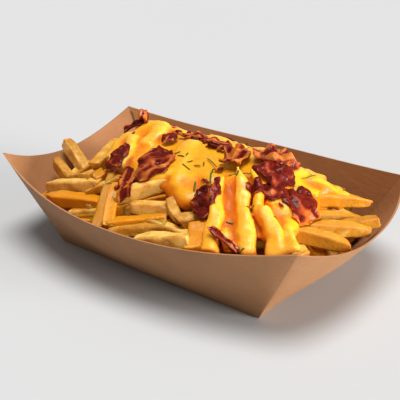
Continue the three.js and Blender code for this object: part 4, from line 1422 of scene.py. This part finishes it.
def bacon_paint(looks, a, b, phase, folds, wrinkles, ragged):
    """How fat, how charred and how amber each place of a bacon piece is."""
    sway = BACON_STREAKS["sway"] * np.sin(1.6 * a + phase) + BACON_STREAKS["wrinkled"] * wrinkles
    streaks = np.sin(BACON_STREAKS["across"] * b + sway + phase)
    streaks = 0.5 + 0.5 * looks["streaks"] * streaks + looks["graded"] * a
    # painted light and shade: fatter and paler on fold crests, leaner and darker in fold hollows
    fat = streaks + BACON_FAT["spread"] * (looks["fat"] - 0.5) + BACON_FAT["folded"] * folds
    edge = np.maximum(np.abs(a), np.abs(b)) ** 6
    char = BACON_CHAR["inner"] + BACON_CHAR["edge"] * edge + BACON_CHAR["wrinkled"] * wrinkles
    amber = looks["amber"] + BACON_AMBER * ragged
    paint = np.stack([fat, looks["char"] * char, amber], axis=-1)
    return np.clip(paint, 0, 1).reshape(-1, 3)


def bacon_body(piece, index, thick, surfaces):
    """One crumpled piece of bacon. Paint is its fat, its char and its amber."""
    along, across, normal = bacon_axes(piece)
    x, y = piece["at"]
    centre = np.array([x, y, float(heap_top(x, y)) + piece["lift"]])
    phase = index * BACON_PHASE
    a, b = np.meshgrid(
        np.linspace(-1, 1, BACON_GRID["along"]), np.linspace(-1, 1, BACON_GRID["across"])
    )
    folds, wrinkles, pimples, ragged = bacon_waves(piece, a, b, phase)
    off_middle = np.maximum(np.abs(a), np.abs(b))
    reach = 1 + BACON_RAGGED["deep"] * ragged * off_middle ** 3
    half_length = (1 + BACON_ENDS * np.sin(3 * b + phase)) * reach * piece["length"] / 2
    half_width = (1 + BACON_SIDES * np.sin(5 * a + phase)) * reach * piece["width"] / 2
    shift_a = a * np.sqrt(1 - BACON_CORNERS * b * b) * half_length
    shift_b = b * np.sqrt(1 - BACON_CORNERS * a * a) * half_width
    height = bacon_height(piece, a, b, phase, folds, wrinkles, pimples)
    middle = centre + sum(
        far[..., None] * way for far, way in ((shift_a, along), (shift_b, across), (height, normal))
    )
    if not piece["stands"]:
        under = np.array([[top_at(surfaces, px, py) for px, py, _ in row] for row in middle])
        off = BACON_OFF["least"] + BACON_OFF["most"] * np.clip(wrinkles + 0.5, 0, 1)
        middle[..., 2] = np.maximum(middle[..., 2], under + off + thick / 2)
    rim = np.clip(BACON_RIM["start"] - off_middle ** BACON_RIM["sharp"], BACON_RIM["thin"], 1)
    half = (0.5 * thick * rim * (1 + BACON_UNEVEN * pimples))[..., None] * normal
    points, faces = slab(middle + half, middle - half)
    paint = bacon_paint(piece["looks"], a, b, phase, folds, wrinkles, ragged)
    return points, faces, np.concatenate([paint, paint])


def crumb_body(x, y, size, surfaces, draw):
    """One crumb of bacon: a small uneven flake. Paint is its fat, its char and its amber."""
    turns = np.linspace(0, 2 * math.pi, CRUMB_SIDES, endpoint=False)
    heading, stretch, tone = 2 * math.pi * draw(), mix(*CRUMB_STRETCH, draw()), draw()
    ragged = np.array([mix(*CRUMB_RAGGED, draw()) for _ in turns])
    lean_x, lean_y = CRUMB_LEAN * (draw() - 0.5), CRUMB_LEAN * (draw() - 0.5)
    middle = top_at(surfaces, x, y) + CRUMB_RISE * size
    rings = []
    for level, width in CRUMB_RINGS:
        u = np.cos(turns) * ragged * width * size / 2 * math.sqrt(stretch)
        v = np.sin(turns) * ragged * width * size / 2 / math.sqrt(stretch)
        px = u * math.cos(heading) - v * math.sin(heading)
        py = u * math.sin(heading) + v * math.cos(heading)
        pz = level * size * CRUMB_THICK + lean_x * px + lean_y * py
        rings.append(np.stack([x + px, y + py, middle + pz], axis=1))
    points, faces = tube(np.array(rings))
    fat, char = CRUMB_PAINT["fat"] * tone, CRUMB_PAINT["char"] * draw()
    return points, faces, np.tile([fat, char, CRUMB_PAINT["amber"]], (len(points), 1))


def crumbs_body(surfaces):
    """All the crumbs of bacon, scattered along their rows."""
    draw = random_from(CRUMB_SEED)
    bodies = []
    for row in CRUMB_ROWS:
        for x, y in row_places(row):
            x += CRUMB_SPREAD * (draw() - 0.5)
            y += CRUMB_SPREAD * (draw() - 0.5)
            bodies.append(crumb_body(x, y, mix(*row["size"], draw()), surfaces, draw))
    return joined(bodies)


# Chives

def chive_body(piece, index, surfaces):
    """One cut chive lying on what is under it: a thin flattened stalk, a little bent. Paint is
    how light it is."""
    draw = random_from(CHIVE_SEED + index)
    x, y = piece["at"]
    heading = math.radians(piece["turn"])
    along = np.array([math.cos(heading), math.sin(heading), 0])
    side = np.array([-along[1], along[0], 0])
    bend = (draw() - 0.5) * CHIVE_BEND * piece["length"]
    width = mix(*CHIVE_WIDTH, draw())
    turns = np.linspace(0, 2 * math.pi, CHIVE_POINTS["round"], endpoint=False)
    rings = []
    for share in np.linspace(0, 1, CHIVE_POINTS["along"]):
        middle = along * piece["length"] * (share - 0.5) + side * bend * arch(share) + (x, y, 0)
        middle[2] = top_at(surfaces, middle[0], middle[1]) + CHIVE_OFF
        half = 0.5 * width * (CHIVE_CUT if share in (0, 1) else 1)
        ring = np.outer(np.cos(turns) * half, side)
        ring[:, 2] = np.sin(turns) * half * CHIVE_FLAT
        rings.append(middle + ring)
    points, faces = tube(np.array(rings))
    paint = np.tile([CHIVE_LIGHT * draw(), 0, 0], (len(points), 1))
    paint[-2:, 0] = 1
    return points, faces, paint


# Lights

def add_sun(name, light, strength):
    """A soft light, even over the whole floor."""
    data = bpy.data.lights.new(name, "SUN")
    data.energy = strength
    data.angle = math.radians(light["width"])
    made = bpy.data.objects.new(name, data)
    made.rotation_euler = (-Vector(light["from"])).to_track_quat("-Z", "Y").to_euler()
    bpy.context.scene.collection.objects.link(made)


# Settings

def colour_property(name, description, default):
    """A colour that a user can change."""
    return bpy.props.FloatVectorProperty(
        name=name, description=description, subtype="COLOR", size=4, min=0, max=1, default=default
    )


def number_property(name, description, default, **more):
    """A number that a user can change."""
    return bpy.props.FloatProperty(name=name, description=description, default=default, **more)


class TraySettings(bpy.types.PropertyGroup):
    """The tray's board"""
    board: number_property("Board", "Thickness of the folded board", 0.0006, unit="LENGTH")
    outside: colour_property("Outside", "Kraft board in its fibres", (0.3, 0.138, 0.055, 1))
    outside_pale: colour_property("Outside, pale", "Between its fibres", (0.37, 0.183, 0.082, 1))
    inside: colour_property("Inside", "The food side of the board", (0.365, 0.16, 0.06, 1))
    # painted shade on the food side towards the back
    back_shade: colour_property("Shade", "Where oil has soaked into the food side", (0.2, 0.07, 0.015, 1))
    blotch: colour_property("Blotches", "Tint of the faint blotches", (0.75, 0.66, 0.58, 1))
    speck: colour_property("Specks", "Dark specks in the board", (0.07, 0.03, 0.014, 1))
    # painted shade along the folds and the foot
    fold_shade: colour_property("Shaded folds", "Where the board is folded", (0.11, 0.048, 0.024, 1))


class FrySettings(bpy.types.PropertyGroup):
    """The colours of the fries"""
    pale: colour_property("Pale", "Potato that is least fried", (0.9, 0.54, 0.12, 1))
    golden: colour_property("Golden", "Potato that is well fried", (0.53, 0.225, 0.012, 1))
    brown: colour_property("Brown", "Edges and ends", (0.36, 0.11, 0.006, 1))
    sauced: colour_property("Sauced", "Where sauce has run", (0.66, 0.24, 0.004, 1))


class CheeseSettings(bpy.types.PropertyGroup):
    """The colours of the cheese sauce"""
    thick: colour_property("Thick", "Thick sauce", (0.8, 0.345, 0.008, 1))
    # orange sauce, partly thin and partly painted shade in hollows and on steep sides
    thin: colour_property("Thin", "Sauce in hollows and on steep sides", (0.74, 0.185, 0.001, 1))
    # painted shade in the deepest hollows
    hollow_shade: colour_property("Shadowed", "Oily sauce between the fries", (0.42, 0.085, 0.0007, 1))
    # painted highlight on the ridges
    ridges: colour_property("Highlights", "Sauce on its ridges", (0.84, 0.45, 0.07, 1))


class BaconSettings(bpy.types.PropertyGroup):
    """The bacon's thickness and colours"""
    thick: number_property("Thickness", "Thickness of a crisp slice", 0.001, unit="LENGTH")
    lean: colour_property("Lean", "Dark lean meat", (0.065, 0.003, 0.0013, 1))
    lean_light: colour_property("Lean, light", "Light lean meat", (0.145, 0.01, 0.0035, 1))
    rose: colour_property("Rose", "Meat beside the fat", (0.27, 0.032, 0.01, 1))
    fat: colour_property("Fat", "Pink fat", (0.5, 0.17, 0.055, 1))
    fat_amber: colour_property("Fat, amber", "Crisp amber fat", (0.5, 0.14, 0.008, 1))
    char: colour_property("Char", "Burnt edges", (0.026, 0.0033, 0.002, 1))


class HerbSettings(bpy.types.PropertyGroup):
    """The colours of the chives"""
    chive: colour_property("Chive", "Green of the blades", (0.0145, 0.04, 0.002, 1))
    chive_light: colour_property("Chive, light", "Cut faces", (0.092, 0.145, 0.0099, 1))


class StageSettings(bpy.types.PropertyGroup):
    """The camera, the floor and the lights"""
    azimuth: number_property(
        "Azimuth", "Where the camera stands round the tray", math.radians(38.63), subtype="ANGLE"
    )
    elevation: number_property(
        "Elevation", "How high the camera stands", math.radians(24.75), subtype="ANGLE"
    )
    roll: number_property("Roll", "How far the camera leans", math.radians(-1.45), subtype="ANGLE")
    distance: number_property(
        "Distance", "From the camera to what it looks at", 0.3798, unit="LENGTH"
    )
    target: bpy.props.FloatVectorProperty(
        name="Target",
        description="What the camera looks at",
        default=(-0.00688, 0.00935, 0.02),
        subtype="XYZ",
        unit="LENGTH",
    )
    lens: number_property("Lens", "Focal length in millimetres", 67.6)
    floor: colour_property("Floor", "The plain floor", (0.45, 0.45, 0.45, 1))
    key_light: number_property("Key light", "Strength of the soft light from above", 3.6)
    side_light: number_property("Side light", "Strength of the low soft light from the right", 8.0)
    world_light: number_property("World light", "Strength of the light from all round", 0.27)


# Operators

class FRIES_OT_stage(bpy.types.Operator):
    """Add the floor, the lights and the camera"""
    bl_idname = "fries.add_stage"
    bl_label = "Add stage"

    def execute(self, context):
        settings = context.scene.fries_stage
        signs = ((-1, -1), (1, -1), (1, 1), (-1, 1))
        corners = [(FLOOR_HALF * sign_x, FLOOR_HALF * sign_y, 0) for sign_x, sign_y in signs]
        floor = add_object("floor", corners, [[0, 1, 2, 3]], np.zeros((4, 3)), floor_finish(settings))

        world = bpy.data.worlds.new("studio")
        world.use_nodes = True
        background = world.node_tree.nodes["Background"]
        background.inputs["Color"].default_value = (1, 1, 1, 1)
        background.inputs["Strength"].default_value = settings.world_light
        context.scene.world = world

        add_sun("key", KEY_LIGHT, settings.key_light)
        add_sun("side", SIDE_LIGHT, settings.side_light)

        camera_data = bpy.data.cameras.new("camera")
        camera_data.lens = settings.lens
        camera_data.clip_start = 0.01
        camera = bpy.data.objects.new("camera", camera_data)
        level = math.cos(settings.elevation)
        back_x, back_y = math.sin(settings.azimuth) * level, -math.cos(settings.azimuth) * level
        back = Vector((back_x, back_y, math.sin(settings.elevation)))
        upright = (-back).to_track_quat("-Z", "Y")
        camera.location = Vector(settings.target) + back * settings.distance
        camera.rotation_mode = "QUATERNION"
        camera.rotation_quaternion = upright @ Quaternion((0, 0, 1), settings.roll)
        context.scene.collection.objects.link(camera)
        context.scene.camera = camera
        context.scene.view_settings.view_transform = "Standard"
        return {"FINISHED"}


class FRIES_OT_tray(bpy.types.Operator):
    """Add the folded paper tray"""
    bl_idname = "fries.add_tray"
    bl_label = "Add tray"

    def execute(self, context):
        settings = context.scene.fries_tray
        board = settings.board / MM
        parts = [tray_shell(board), tray_tab(-1, board), tray_tab(1, board)]
        tray = add_object("paper_tray", *joined(parts), kraft_paper(settings), sharp=35)
        hand_over(tray, "kraft_board", "tray")
        return {"FINISHED"}


class FRIES_OT_fries(bpy.types.Operator):
    """Add the heap of fries"""
    bl_idname = "fries.add_fries"
    bl_label = "Add fries"

    def execute(self, context):
        board = context.scene.fries_tray.board / MM
        draw = random_from(FRY_SEED)
        parts = [heap_core(board)]
        parts += [fry_body(piece, draw) for piece in all_fries()]
        points, faces, paint = joined(parts)
        points = kept_inside(points, board)
        material = fried_potato(context.scene.fries_potato)
        heap = add_object("fry_heap", points, faces, paint, material)
        hand_over(heap, "fried_potato", "fries")
        return {"FINISHED"}


class FRIES_OT_cheese(bpy.types.Operator):
    """Add the cheese sauce"""
    bl_idname = "fries.add_cheese"
    bl_label = "Add cheese sauce"

    def execute(self, context):
        board = context.scene.fries_tray.board / MM
        points, faces, paint = cheese_body(board)
        material = melted_cheese(context.scene.fries_cheese)
        cheese = add_object("melted_cheese", points, faces, paint, material)
        hand_over(cheese, "cheese_sauce", "cheese_sauce")
        return {"FINISHED"}


class FRIES_OT_bacon(bpy.types.Operator):
    """Add the pieces of bacon"""
    bl_idname = "fries.add_bacon"
    bl_label = "Add bacon"

    def execute(self, context):
        settings = context.scene.fries_bacon
        material = crisp_bacon(settings)
        surfaces = surfaces_of("fry_heap", "melted_cheese")
        for index, (piece, node_name) in enumerate(zip(BACON, BACON_NODES, strict=True)):
            body = bacon_body(piece, index, settings.thick / MM, surfaces)
            slice_ = add_object(node_name.replace("bacon", "bacon_slice"), *body, material)
            hand_over(slice_, "bacon", node_name)
        crumbs = add_object("bacon_crumbs", *crumbs_body(surfaces), material)
        hand_over(crumbs, "bacon")
        return {"FINISHED"}


class FRIES_OT_chives(bpy.types.Operator):
    """Add the chives"""
    bl_idname = "fries.add_chives"
    bl_label = "Add chives"

    def execute(self, context):
        surfaces = surfaces_of("fry_heap", "melted_cheese")
        bodies = [chive_body(piece, index, surfaces) for index, piece in enumerate(CHIVES)]
        chives = add_object("chives", *joined(bodies), cut_chive(context.scene.fries_herbs))
        hand_over(chives, None, "cheese_sauce")
        return {"FINISHED"}


OPERATORS = (
    FRIES_OT_stage,
    FRIES_OT_tray,
    FRIES_OT_fries,
    FRIES_OT_cheese,
    FRIES_OT_bacon,
    FRIES_OT_chives,
)
SETTINGS = {
    "fries_stage": StageSettings,
    "fries_tray": TraySettings,
    "fries_potato": FrySettings,
    "fries_cheese": CheeseSettings,
    "fries_bacon": BaconSettings,
    "fries_herbs": HerbSettings,
}


class VIEW3D_PT_fries(bpy.types.Panel):
    """The settings and the steps, in the order that they are made"""
    bl_idname = "VIEW3D_PT_fries"
    bl_label = "Loaded fries"
    bl_space_type = "VIEW_3D"
    bl_region_type = "UI"
    bl_category = "Loaded fries"

    def draw(self, context):
        for operator, (name, group) in zip(OPERATORS, SETTINGS.items()):
            box = self.layout.box()
            for setting in group.__annotations__:
                box.prop(getattr(context.scene, name), setting)
            box.operator(operator.bl_idname)


def register():
    """Adds the settings, the steps and the panel to Blender."""
    for group in SETTINGS.values():
        bpy.utils.register_class(group)
    for name, group in SETTINGS.items():
        setattr(bpy.types.Scene, name, bpy.props.PointerProperty(type=group))
    for operator in OPERATORS:
        bpy.utils.register_class(operator)
    bpy.utils.register_class(VIEW3D_PT_fries)


def unregister():
    """Takes them away again."""
    bpy.utils.unregister_class(VIEW3D_PT_fries)
    for operator in reversed(OPERATORS):
        bpy.utils.unregister_class(operator)
    for name in SETTINGS:
        delattr(bpy.types.Scene, name)
    for group in reversed(SETTINGS.values()):
        bpy.utils.unregister_class(group)


def main():
    """Makes everything in order."""
    register()
    for operator in OPERATORS:
        group, name = operator.bl_idname.split(".")
        getattr(getattr(bpy.ops, group), name)()


if __name__ == "__main__":
    main()
